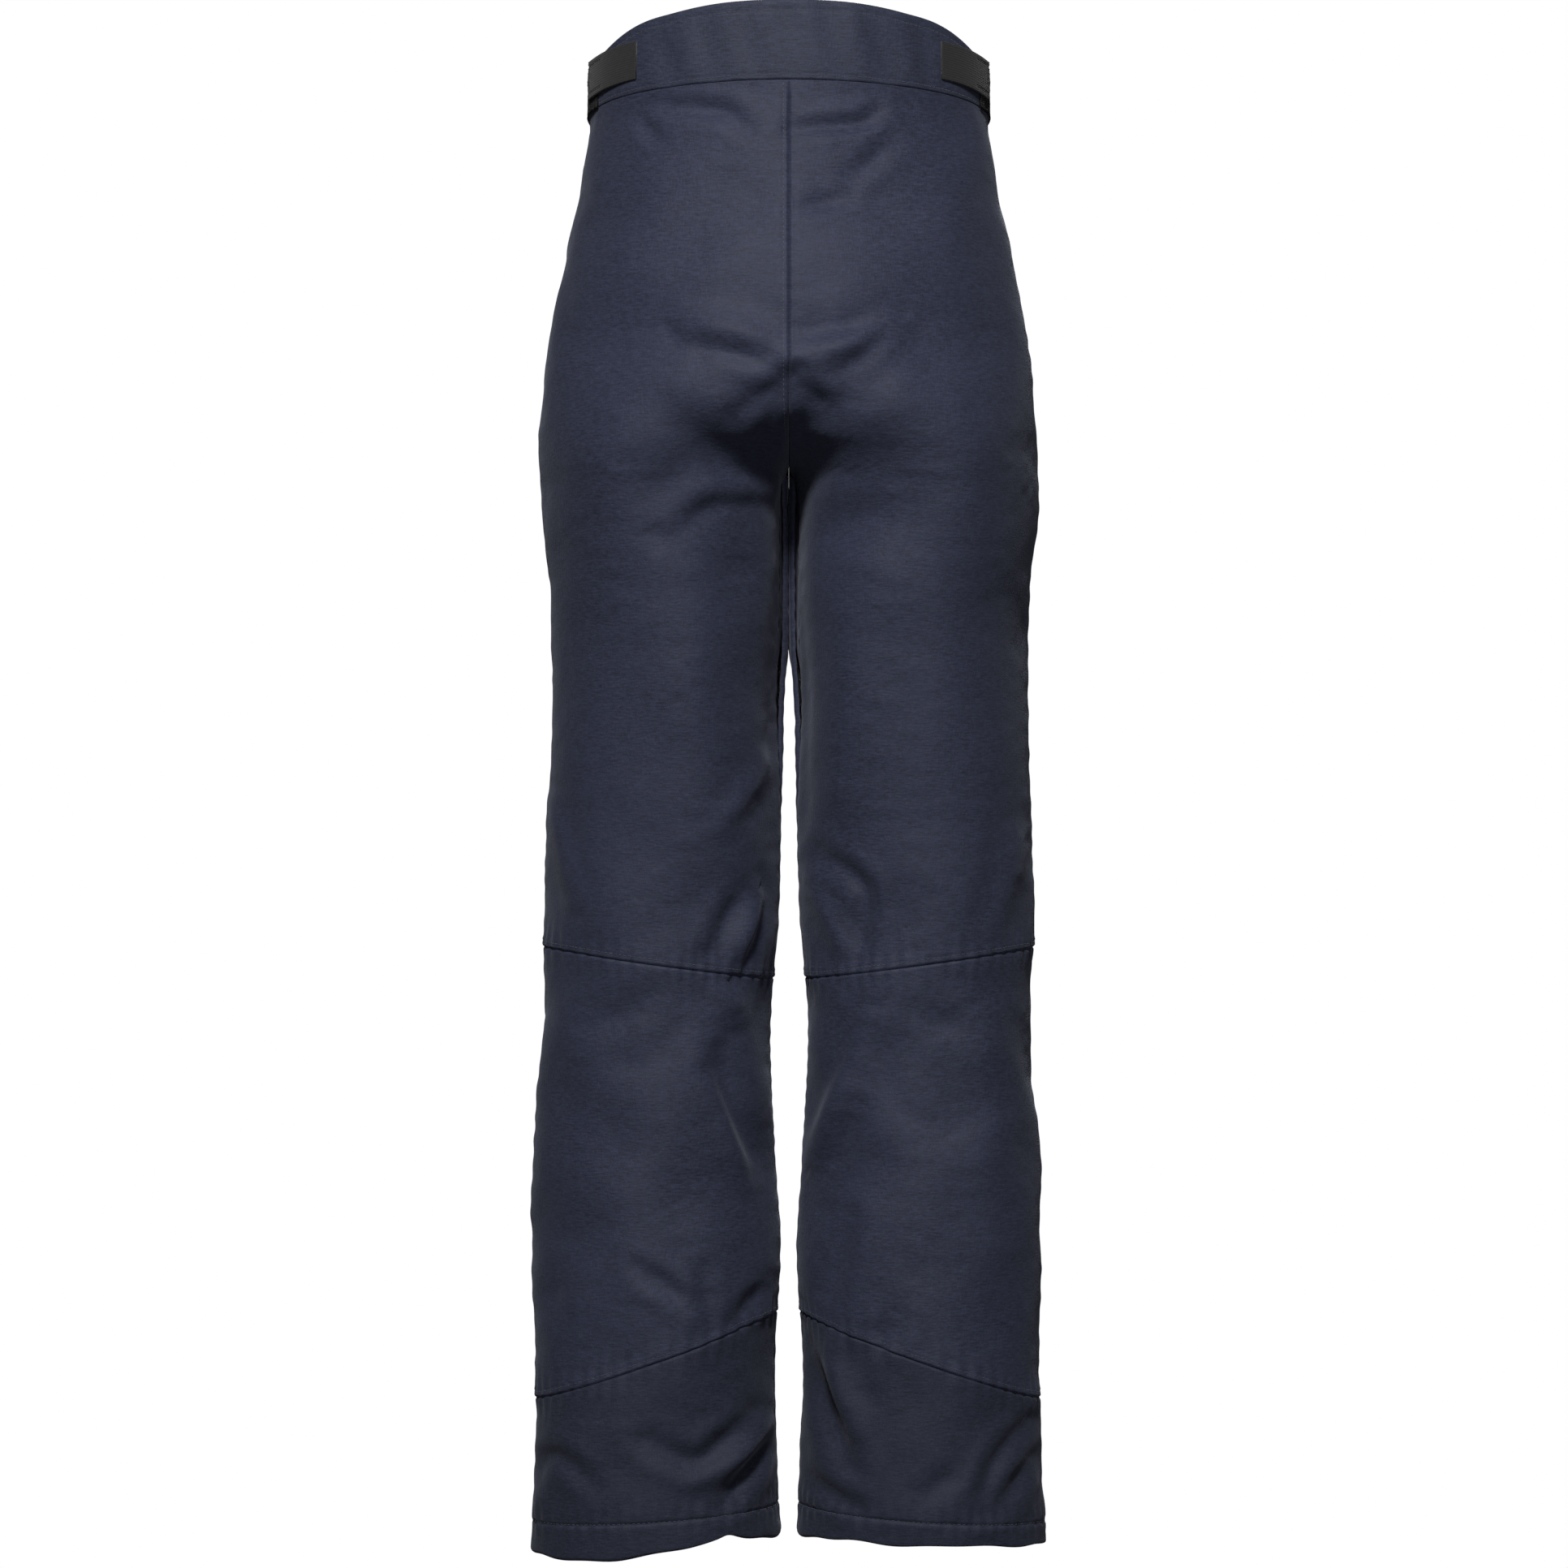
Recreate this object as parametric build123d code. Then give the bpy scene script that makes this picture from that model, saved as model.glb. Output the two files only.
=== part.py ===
"""Insulated ski trousers, built piece by piece: quilted legs, waistband, zips, straps and snow cuffs.

Millimetres. X points to the wearer's right, Y to the wearer's front and Z up, with the origin at
the middle of the waist opening. Everything is drawn for the right side and mirrored to the left.
"""
import os
from math import cos, pi, radians, sin

from build123d import *

# Heights of the seams.
WAIST_TOP = ((-125, 31), (-105, 28), (0, 0), (105, -20), (125, -22))
WAIST_SEAM = ((-125, -19), (-105, -22.5), (0, -39), (105, -60), (125, -62))
KNEE_SEAM = ((6, -620), (167, -598))
ANKLE_SEAM = ((8, -845), (173, -903))
HEM_TOP = ((5, -974), (175, -985))
HEM_EDGE = ((5, -996), (175, -1006))
FORK = -285
RISE = 100

# The cloth's outline: height, outer half width, inner half gap, half depth, middle of the depth.
OUTLINE = (
    (45, 134, 1, 104, 0),
    (-10, 134.5, 1, 105, 0),
    (-45, 135.5, 1, 107, -0.5),
    (-90, 143.5, 1, 114, -3),
    (-155, 156, 1, 126, -6.5),
    (-220, 166, 1, 130, -8),
    (-290, 169.5, 1, 113, -5),
    (-375, 162.5, 1, 104, -1),
    (-450, 162.5, 4.5, 98, 1),
    (-573, 167, 6.6, 88, 4),
    (-655, 165, 12.5, 84, 3),
    (-749, 170, 9, 80, -1),
    (-800, 171, 6, 79, -3),
    (-881, 171, 9.5, 77, -4),
    (-960, 173.5, 7.5, 75.5, -4),
    (-1015, 175.5, 4, 75, -4),
)

# Layers of the cloth, as depths below the outer surface.
SHELL = (0, 1.2)
PADDING = (1.9, 5.0)
LINING = (5.2, 6.0)
BAND = (-0.6, 2.4)
BAND_LEVELS = (45, 15, -15, -45, -75)
FACING = (2.6, 3.6)
PANEL_GAP = 0.15

# Waist strap and its hook-and-loop patches.
STRAP_WIDTH = 25.4
STRAP_ROOT = radians(-40.8)
STRAP_LIFT = radians(-24)
STRAP_END = radians(-9.5)
STRAP_LINE = ((-67, -6), (0, -14.3))
LOOP_LINE = ((-67, -12), (0, -20), (70, -33))
LOOP = (-1.65, -0.75)
HOOK = (-2.7, -1.95)

# Zips: a straight chain in a window of the cloth. Local X runs down the chain, Z outwards.
POCKET_ZIP = 130
FLY_ZIP = 132
WINDOW_WIDTH = 12
TAPE = (-4.0, -3.4)
TAPE_WIDTH = 11
COIL_TOP = -0.5
SLIT = 0.6
COIL_WIDTH = 2.1
SLIDER_LENGTH = 10
CLEARANCE = 0.3
PULL_LENGTH = 26
PULL_AXIS = 1.95

# Waist closure.
TAB_ROOT_X = -4
TAB_END_X = 44
TAB = (-3.2, -0.9)
SNAP_X = (16, 34)
STUD_RADIUS = 2.6

POCKET_ENDS = ((-104, radians(56)), (-236, radians(44)))
FLY_HEIGHTS = (-72, -208)


def profile(z, column):
    """One column of the outline at height z, joined by smooth cubics."""
    rows = OUTLINE
    k = next((i for i in range(len(rows) - 2) if z >= rows[i + 1][0]), len(rows) - 2)

    def slope(i):
        low, high = max(i - 1, 0), min(i + 1, len(rows) - 1)
        return (rows[high][column] - rows[low][column]) / (rows[high][0] - rows[low][0])

    start, end = rows[k], rows[k + 1]
    step = end[0] - start[0]
    s = (z - start[0]) / step
    rise = end[column] - start[column]
    bend_a = slope(k) * step - rise
    bend_b = rise - slope(k + 1) * step
    return start[column] + s * rise + s * (1 - s) * ((1 - s) * bend_a + s * bend_b)


def surface(z, t, depth=0.0):
    """The point of the right half at height z and angle t, depth below the outer surface."""
    outer, gap, half_depth, middle = (profile(z, column) for column in range(1, 5))
    trunk = min(max((z - FORK) / RISE, 0), 1)
    inner = gap - (outer + gap) * trunk * trunk * (3 - 2 * trunk)
    across = (outer - inner) / 2 - depth
    return Vector((outer + inner) / 2 + across * cos(t), middle + (half_depth - depth) * sin(t), z)


def front_middle(z):
    """The point of the front's middle seam at height z."""
    t = pi / 2
    for _ in range(8):
        t += surface(z, t).X / profile(z, 1)
    return Vector(0, surface(z, t).Y, z)


def heights(top, bottom):
    """Loft heights between two levels, closer together round the fork."""
    grid = [z for z in range(40, -1020, -20) if z % 40 == 0 or FORK - 10 < z < FORK + RISE]
    return [top, *[z for z in grid if bottom + 6 < z < top - 6], bottom]


def sheet(top, bottom, start, end, depths, levels=None):
    """A curved sheet between two heights, two angles and two depths below the surface."""
    count = max(5, round((end - start) / radians(22)) + 1)
    angles = [start + (end - start) * i / (count - 1) for i in range(count)]

    def arc(z, depth):
        return [surface(z, t, depth(z, t) if callable(depth) else depth) for t in angles]

    sections = []
    for z in levels or heights(top, bottom):
        outer, inner = arc(z, depths[0]), arc(z, depths[1])
        edges = [Spline(*outer), Line(outer[-1], inner[-1]), Spline(*reversed(inner)), Line(inner[0], outer[0])]
        sections.append(make_face(edges))
    return loft(sections)


def right_half(part):
    """The part of a shape on the wearer's right of the middle seam."""
    return split(part, Plane((PANEL_GAP, 0, 0), z_dir=(1, 0, 0)), keep=Keep.TOP)


def below(part, line, gap=PANEL_GAP):
    """The part of a shape below a seam that runs straight across the leg."""
    return split(part, seam_plane(line, -gap), keep=Keep.BOTTOM)


def above(part, line):
    """The part of a shape above a seam that runs straight across the leg."""
    return split(part, seam_plane(line, 0), keep=Keep.TOP)


def seam_plane(line, shift):
    """The plane through a straight seam, across the leg from front to back."""
    (x0, z0), (x1, z1) = line
    return Plane((x0, 0, z0 + shift), x_dir=(0, 1, 0), z_dir=(z0 - z1, 0, x1 - x0))


def side_region(upper, lower):
    """A block between two curves of the side view, running right through the waist."""
    top = Spline(*[Vector(0, y, z) for y, z in upper])
    low = Spline(*[Vector(0, y, z) for y, z in reversed(lower)])
    ends = [Line(top @ 1, low @ 0), Line(low @ 1, top @ 0)]
    return extrude(make_face([top, ends[0], low, ends[1]]), 200, dir=(1, 0, 0), both=True)


def strip_region(line, width):
    """A block that follows a line of the side view at a constant width."""
    (y0, z0), (y1, z1) = line[0], line[-1]
    reach = [(y0 - 80, z0 - 80 * (z1 - z0) / (y1 - y0)), *line[1:-1]]
    reach.append((y1 + 80, z1 + 80 * (z1 - z0) / (y1 - y0)))
    upper = [(y, z + width / 2) for y, z in reach]
    lower = [(y, z - width / 2) for y, z in reach]
    outline = [*upper, *reversed(lower)]
    face = make_face(Polyline(*[Vector(0, y, z) for y, z in outline], close=True))
    return extrude(face, 200, dir=(1, 0, 0), both=True)


def under_band(part):
    """The part of a shape below the waistband's lower seam."""
    lower = [(y, z - PANEL_GAP) for y, z in WAIST_SEAM]
    return part - side_region([(y, 60) for y, _ in WAIST_SEAM], lower)


def band_piece(start, end, depths):
    """A length of the waistband between two angles."""
    ring = sheet(0, 0, start, end, depths, BAND_LEVELS)
    return ring & side_region(WAIST_TOP, WAIST_SEAM)


# Zip frames and pieces.


def chain_frame(high, low, across):
    """The frame of a straight zip between two points, with the direction across it."""
    along = low - high
    return Plane((high + low) / 2, x_dir=along.normalized(), z_dir=along.cross(across).normalized())


def block(x, y, z):
    """A box from its three ranges."""
    size = [high - low for low, high in (x, y, z)]
    middle = [(high + low) / 2 for low, high in (x, y, z)]
    return Pos(*middle) * Box(*size)


def chain_window(length, width, extra):
    """The cut that a chain makes through the layers of cloth."""
    return block((-length / 2 - extra, length / 2 + extra), (-width / 2, width / 2), (-14, 8))


def zip_tape(length):
    """The two woven tapes of a chain."""
    half = block((-length / 2 - 2.5, length / 2 + 2.5), (SLIT, TAPE_WIDTH), TAPE)
    return half + mirror(half, Plane.XZ)


def zip_coil(length):
    """The two rows of the coil, meeting along a fine middle line."""
    row = block((-length / 2, length / 2 - 6), (SLIT, SLIT + COIL_WIDTH), (TAPE[1], COIL_TOP))
    row = fillet(row.edges().filter_by(Axis.X).group_by(Axis.Z)[-1], 0.7)
    return row + mirror(row, Plane.XZ)


def zip_stop(length):
    """The bottom box stop that closes the chain off."""
    stop = block((length / 2 - 5.6, length / 2 - 1.6), (-3.2, 3.2), (TAPE[1], 0.4))
    return fillet(stop.edges().filter_by(Axis.Z), 0.8)


def slider_body(length):
    """The slider at the closed end: two plates on a thin web, with the bail for its pull."""
    x0 = -length / 2 + 1
    x1 = x0 + SLIDER_LENGTH
    plate_z = COIL_TOP + CLEARANCE
    top = block((x0, x1), (-4.2, 4.2), (plate_z, 1.3))
    top = fillet(top.edges().filter_by(Axis.Z), 1.8)
    rail = block((x0 + 2, x1 - 1), (SLIT + COIL_WIDTH + CLEARANCE, 4.2), (TAPE[1] + CLEARANCE, plate_z))
    bottom = block((x0, x1), (-4.2, 4.2), (TAPE[0] - CLEARANCE - 1, TAPE[0] - CLEARANCE))
    bottom = fillet(bottom.edges().filter_by(Axis.Z), 1.8)
    web = block((x0 + 1, x1 - 3), (-SLIT + CLEARANCE, SLIT - CLEARANCE), (TAPE[0] - CLEARANCE, plate_z))
    middle = (x0 + x1) / 2
    bail = block((middle - 2.2, middle + 2.2), (-0.9, 0.9), (1.3, 3.4))
    bail = fillet(bail.edges().filter_by(Axis.Y).group_by(Axis.Z)[-1], 0.9)
    bail -= block((middle - 1, middle + 1), (-1, 1), (1.3, 2.6))
    return top + rail + mirror(rail, Plane.XZ) + bottom + web + bail


def slider_pull(length):
    """The pull tab hanging from the slider's bail."""
    axis = -length / 2 + 1 + SLIDER_LENGTH / 2
    half = 0.35
    pin = Pos(axis, 0, PULL_AXIS) * Rot(90, 0, 0) * Cylinder(half, 4.6)
    arm = block((axis, axis + 9), (1.3, 2.3), (PULL_AXIS - half, PULL_AXIS + half))
    grip = block((axis + 7, axis + PULL_LENGTH), (-3.2, 3.2), (PULL_AXIS - 0.7, PULL_AXIS + 0.7))
    grip = fillet(grip.edges().filter_by(Axis.Z), 2)
    grip -= Pos(axis + PULL_LENGTH - 3.5, 0, PULL_AXIS) * Cylinder(1.2, 4)
    return pin + arm + mirror(arm, Plane.XZ) + grip


# Legs and trunk.


def leg_panels(windows):
    """The front and back panels of the right leg, from the waistband down to the hem."""
    half_turn = pi - PANEL_GAP / 80
    spans = {"front": (PANEL_GAP / 80, half_turn), "back": (-half_turn, -PANEL_GAP / 80)}
    pieces = {}
    for side, (start, end) in spans.items():
        thigh = under_band(right_half(sheet(20, -630, start, end, SHELL)))
        if side == "front":
            thigh -= windows
        pieces[f"{side}_thigh"] = above(thigh, KNEE_SEAM)
        shin = below(sheet(-590, -910, start, end, SHELL), KNEE_SEAM)
        pieces[f"{side}_shin" if side == "front" else "back_calf"] = above(shin, ANKLE_SEAM)
        ankle = below(sheet(-840, -992, start, end, SHELL), ANKLE_SEAM)
        pieces[f"{side}_ankle"] = above(ankle, HEM_TOP)
    return pieces


def leg_tube(depths, windows):
    """A whole layer of the right leg and half the trunk, inside the outer panels."""
    end = pi - PANEL_GAP / 40
    tube = under_band(right_half(sheet(20, -992, -end, end, depths)))
    return above(tube, HEM_TOP) - windows


def hem_ring():
    """The turned-up hem that closes the layers off."""
    end = pi - PANEL_GAP / 40
    ring = sheet(-965, -1015, -end, end, (0, LINING[1]), [-965, -980, -1000, -1015])
    return above(below(ring, HEM_TOP), HEM_EDGE)


def cuff_depth(z, t):
    """How far inside the leg the snow cuff's surface lies."""
    s = min(max((-852 - z) / 118, 0), 1)
    return 6.3 + 16 * s * s * (3 - 2 * s)


def snow_cuff():
    """The inner snow cuff, sewn to the lining and gathered towards its elastic."""
    end = pi - PANEL_GAP / 40
    levels = [-852, -870, -888, -906, -924, -942, -960, -972]
    return sheet(0, 0, -end, end, (cuff_depth, lambda z, t: cuff_depth(z, t) + 0.8), levels)


def cuff_elastic():
    """The gripping elastic round the bottom of the snow cuff."""
    end = pi - PANEL_GAP / 40
    depths = (lambda z, t: cuff_depth(z, t) + 1, lambda z, t: cuff_depth(z, t) + 2.6)
    return sheet(0, 0, -end, end, depths, [-950, -957, -964, -971])


def lace_hook():
    """The hook at the front of the cuff that holds the boot lace."""
    high, low = (surface(z, pi / 2, cuff_depth(z, 0)) for z in (-954, -968))
    frame = Plane((high + low) / 2, x_dir=(1, 0, 0), z_dir=(high - low).cross(Vector(1, 0, 0)))
    plate = block((-6, 6), (-7, 7), (0.45, 1.25))
    plate = fillet(plate.edges().filter_by(Axis.Z), 2)
    stem = block((-2.5, 2.5), (-5.6, -4.4), (1.2, 3))
    tongue = block((-2.5, 2.5), (-5.6, 4.5), (2.4, 3.3))
    return frame * (plate + stem + tongue)


def pocket_bag(frame):
    """The hand pocket: a flat pouch inside the lining with a neck up to its zip."""
    start, end = radians(22), radians(74)
    pouch = sheet(-88, -276, start, end, (7.2, 10.4))
    inset = sheet(-89, -275, start + 0.008, end - 0.008, (8, 9.6))
    reach = POCKET_ZIP / 2 + 8
    neck = frame * block((-reach, reach), (-TAPE_WIDTH, TAPE_WIDTH), (-12, TAPE[0] - 0.05))
    reach -= 0.8
    bore = frame * block((-reach, reach), (0.8 - TAPE_WIDTH, TAPE_WIDTH - 0.8), (-12, 0))
    outside = sheet(-60, -300, start - 0.2, end + 0.2, (-6, 7.9))
    walls = (neck - bore) & outside
    mouth = bore & sheet(-60, -300, start - 0.2, end + 0.2, (0, 8.6))
    return pouch - inset - mouth + walls


def waistband():
    """The waistband's outer pieces, its facing and the slots of its straps."""
    back = band_piece(-pi + 0.001, -0.001, BAND)
    root = surface(-6, STRAP_ROOT - 0.014, -0.6)
    slot = Pos(root) * Rot(0, 0, -50) * Box(4, 2.4, STRAP_WIDTH + 1.2)
    back -= slot + mirror(slot, Plane.YZ)
    front = band_piece(0.001, pi / 2 + 0.06, BAND)
    right = split(front, Plane((TAB_ROOT_X + 1, 0, 0), z_dir=(1, 0, 0)), keep=Keep.TOP)
    end_plane = Plane((TAB_ROOT_X - CLEARANCE, 0, 0), z_dir=(-1, 0, 0))
    left = split(band_piece(pi / 2 - 0.03, pi - 0.001, BAND), end_plane, keep=Keep.TOP)
    left += split(band_piece(pi / 2 - 0.03, pi / 2 + 0.13, (TAB[0], 1)), end_plane, keep=Keep.TOP)
    facing = band_piece(pi / 2 + 0.035, 2.5 * pi - 0.035, FACING)
    for frame in snap_places():
        hole = frame * Cylinder(STUD_RADIUS + 0.05, 20)
        right -= hole
        facing -= hole
    return {
        "back_waistband": back,
        "front_waistband_right": right,
        "front_waistband_left": left,
        "waistband_facing": facing,
    }


def snap_places():
    """The two press studs' frames on the front of the waistband, facing outwards."""
    frames = []
    for x in SNAP_X:
        t = pi / 2 - x / 134
        ahead = surface(-40, t - 0.01) - surface(-40, t + 0.01)
        up = surface(-30, t) - surface(-50, t)
        frames.append(Plane(surface(-40, t, BAND[0]), x_dir=ahead, z_dir=up.cross(ahead)))
    return frames


def closure():
    """The overlapping tab of the waistband with its press studs."""
    tab = band_piece(pi / 2 - 0.34, pi / 2 + 0.05, TAB)
    tab = split(tab, Plane((TAB_ROOT_X, 0, 0), z_dir=(1, 0, 0)), keep=Keep.TOP)
    tab = split(tab, Plane((TAB_END_X, 0, 0), z_dir=(-1, 0, 0)), keep=Keep.TOP)
    studs = []
    caps = []
    outer = BAND[0] - TAB[0]
    for frame in snap_places():
        studs.append(frame * (Pos(0, 0, -1.6) * Cylinder(STUD_RADIUS, 7.2) + Pos(0, 0, -5) * Cylinder(5, 0.9)))
        tab -= frame * (Pos(0, 0, 1) * Cylinder(STUD_RADIUS + CLEARANCE + 0.6, 5))
        ring = Cylinder(STUD_RADIUS + CLEARANCE + 0.5, outer - 0.15) - Cylinder(STUD_RADIUS + CLEARANCE, 9)
        dome = Pos(0, 0, outer + 0.9) * Cylinder(6.2, 1.2)
        dome = fillet(dome.edges().group_by(Axis.Z)[-1], 0.8)
        caps.append(frame * (Pos(0, 0, (outer + 1.05) / 2) * ring + dome))
    return tab, studs, caps


def strap_depth(shift):
    """The strap's surface: flush where it leaves the slot, lifted where the patch holds it."""

    def depth(z, t):
        s = min(max((t - STRAP_ROOT) / (STRAP_LIFT - STRAP_ROOT), 0), 1)
        return BAND[0] - CLEARANCE + (HOOK[0] + 0.8) * s * s * (3 - 2 * s) - shift

    return depth


def strap_set():
    """The right waist strap with its hook patch and the loop patch that it sticks to."""
    width = strip_region(STRAP_LINE, STRAP_WIDTH)
    strap = sheet(0, 0, STRAP_ROOT, STRAP_END, (strap_depth(1.6), strap_depth(0)), BAND_LEVELS) & width
    hook = sheet(0, 0, STRAP_LIFT + 0.02, STRAP_END - 0.02, HOOK, BAND_LEVELS)
    hook &= strip_region(STRAP_LINE, STRAP_WIDTH - 2)
    loop = sheet(0, 0, radians(-19), radians(36), LOOP, BAND_LEVELS) & strip_region(LOOP_LINE, 26)
    return strap, hook, loop


def hanger_loops():
    """The ribbon loops inside the waistband, one at each side."""
    outer = SlotOverall(46, 9, rotation=90)
    ribbon = extrude(outer - SlotOverall(42, 5.4, rotation=90), 8)
    seat = surface(-20, 0, FACING[1])
    loop = Pos(seat.X - 6.6, 4, -40) * Rot(90, 0, 0) * ribbon
    return [loop, mirror(loop, Plane.YZ)]


def care_label():
    """The blank woven label at the back of the facing."""

    def depth(z, t):
        return 4.1 + 3.2 * min(max((-1 - z) / 12, 0), 1)

    levels = [6, -2, -9, -16, -32, -50, -68]
    return sheet(0, 0, radians(-97), radians(-83), (depth, lambda z, t: depth(z, t) + 0.5), levels)


def fly_shield():
    """The under-flap behind the fly zip."""
    return sheet(-62, -216, pi / 2 - 0.19, pi / 2 + 0.19, (8.6, 9.8))


def zip_set(name, frame, length):
    """A whole zip with its slider and pull, ready to save."""
    return {
        f"{name}_zip_tape": frame * zip_tape(length),
        f"{name}_zip_coil": frame * zip_coil(length),
        f"{name}_slider": frame * slider_body(length),
        f"{name}_pull": frame * slider_pull(length),
    }


def save(name, *shapes):
    """Writes one node as a STEP file."""
    solids = [solid for shape in shapes for solid in shape.solids()]
    whole = solids[0] if len(solids) == 1 else Compound(solids)
    export_step(whole, f"parts/{name}.step")


def save_pair(name, shape):
    """Writes a right-hand node and its mirror image."""
    save(f"{name}_right", shape)
    save(f"{name}_left", mirror(shape, Plane.YZ))


def pocket_frame():
    """The frame of the right pocket's zip."""
    (z0, t0), (z1, t1) = POCKET_ENDS
    across = surface(z0, t0 + 0.02) - surface(z0, t0 - 0.02)
    across += surface(z1, t1 + 0.02) - surface(z1, t1 - 0.02)
    return chain_frame(surface(z0, t0), surface(z1, t1), across)


def fly_frame():
    """The frame of the fly's zip."""
    return chain_frame(*[front_middle(z) for z in FLY_HEIGHTS], Vector(-1, 0, 0))


def main():
    os.makedirs("parts", exist_ok=True)
    pocket, fly = pocket_frame(), fly_frame()
    windows = pocket * chain_window(POCKET_ZIP, WINDOW_WIDTH, 3) + fly * chain_window(FLY_ZIP, WINDOW_WIDTH, 3)
    wells = pocket * chain_window(POCKET_ZIP, 2 * TAPE_WIDTH + 0.8, 8.4)
    wells += fly * chain_window(FLY_ZIP, 2 * TAPE_WIDTH + 0.8, 8.4)
    for name, panel in leg_panels(windows).items():
        save_pair(name, panel)
    save_pair("padding", leg_tube(PADDING, wells))
    save_pair("lining", leg_tube(LINING, wells))
    save_pair("hem", hem_ring())
    save_pair("snow_cuff", snow_cuff())
    save_pair("cuff_elastic", cuff_elastic())
    save_pair("lace_hook", lace_hook())
    save_pair("pocket_bag", pocket_bag(pocket))
    for name, piece in zip_set("pocket", pocket, POCKET_ZIP).items():
        save_pair(name, piece)
    for name, piece in zip_set("fly", fly, FLY_ZIP).items():
        save(name, piece)
    stop = pocket * zip_stop(POCKET_ZIP)
    save("zip_stops", stop, mirror(stop, Plane.YZ), fly * zip_stop(FLY_ZIP))
    save("fly_shield", fly_shield())
    for name, piece in waistband().items():
        save(name, piece)
    tab, studs, caps = closure()
    save("closure_tab", tab)
    save("snap_studs", *studs)
    save("snap_caps", *caps)
    for name, piece in zip(("waist_strap", "hook_patch", "loop_patch"), strap_set()):
        save_pair(name, piece)
    save("hanger_loops", *hanger_loops())
    save("care_label", care_label())


if __name__ == "__main__":
    main()
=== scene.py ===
"""Insulated ski trousers on an unseen mannequin, their back to the camera.

Lengths are millimetres until a mesh is made. Angles run round each leg from its side seam: the back
is negative and the front positive. side is 1 for the wearer's right leg (+X) and -1 for the left.
"""

import bmesh
import bpy
import numpy as np
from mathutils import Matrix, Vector


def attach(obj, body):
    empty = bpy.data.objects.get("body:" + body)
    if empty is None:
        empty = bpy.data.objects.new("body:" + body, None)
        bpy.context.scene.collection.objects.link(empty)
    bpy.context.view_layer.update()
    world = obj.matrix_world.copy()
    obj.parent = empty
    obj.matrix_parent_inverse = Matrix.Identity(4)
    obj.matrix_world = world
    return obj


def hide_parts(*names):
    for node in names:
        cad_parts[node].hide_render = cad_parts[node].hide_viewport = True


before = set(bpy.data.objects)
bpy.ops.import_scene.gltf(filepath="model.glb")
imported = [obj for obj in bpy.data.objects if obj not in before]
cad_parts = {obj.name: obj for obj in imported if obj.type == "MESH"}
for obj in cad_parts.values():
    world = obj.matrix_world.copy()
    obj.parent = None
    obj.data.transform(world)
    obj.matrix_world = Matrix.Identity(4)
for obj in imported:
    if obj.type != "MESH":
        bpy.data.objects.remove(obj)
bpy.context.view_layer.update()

MM = 0.001
PI = np.pi
SIDES = (1, -1)

# The cloth's outline: height, outer half width, inner half gap, half depth, middle of the depth.
OUTLINE = np.array([
    (45, 134, 1, 104, 0),
    (-10, 134.5, 1, 105, 0),
    (-45, 135.5, 1, 107, -0.5),
    (-90, 143.5, 1, 114, -3),
    (-155, 156, 1, 126, -6.5),
    (-220, 166, 1, 130, -8),
    (-290, 169.5, 1, 113, -5),
    (-375, 162.5, 1, 104, -1),
    (-450, 162.5, 4.5, 98, 1),
    (-573, 167, 6.6, 88, 4),
    (-655, 165, 12.5, 84, 3),
    (-749, 170, 9, 80, -1),
    (-800, 171, 6, 79, -3),
    (-881, 171, 9.5, 77, -4),
    (-960, 173.5, 7.5, 75.5, -4),
    (-1015, 175.5, 4, 75, -4),
], float)[::-1]
FORK, RISE = -285, 100

# Seams: lines across the leg (x, z) and curves of the side view (y, z).
KNEE = ((6, -620), (167, -598))
ANKLE = ((8, -845), (173, -903))
HEM = ((5, -974), (175, -985))
EDGE = ((5, -996), (175, -1006))
BAND_TOP = np.array([(-125, 31), (-105, 28), (0, 0), (105, -20), (125, -22)], float)
BAND_SEAM = np.array([(-125, -19), (-105, -22.5), (0, -39), (105, -60), (125, -62)], float)

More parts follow.
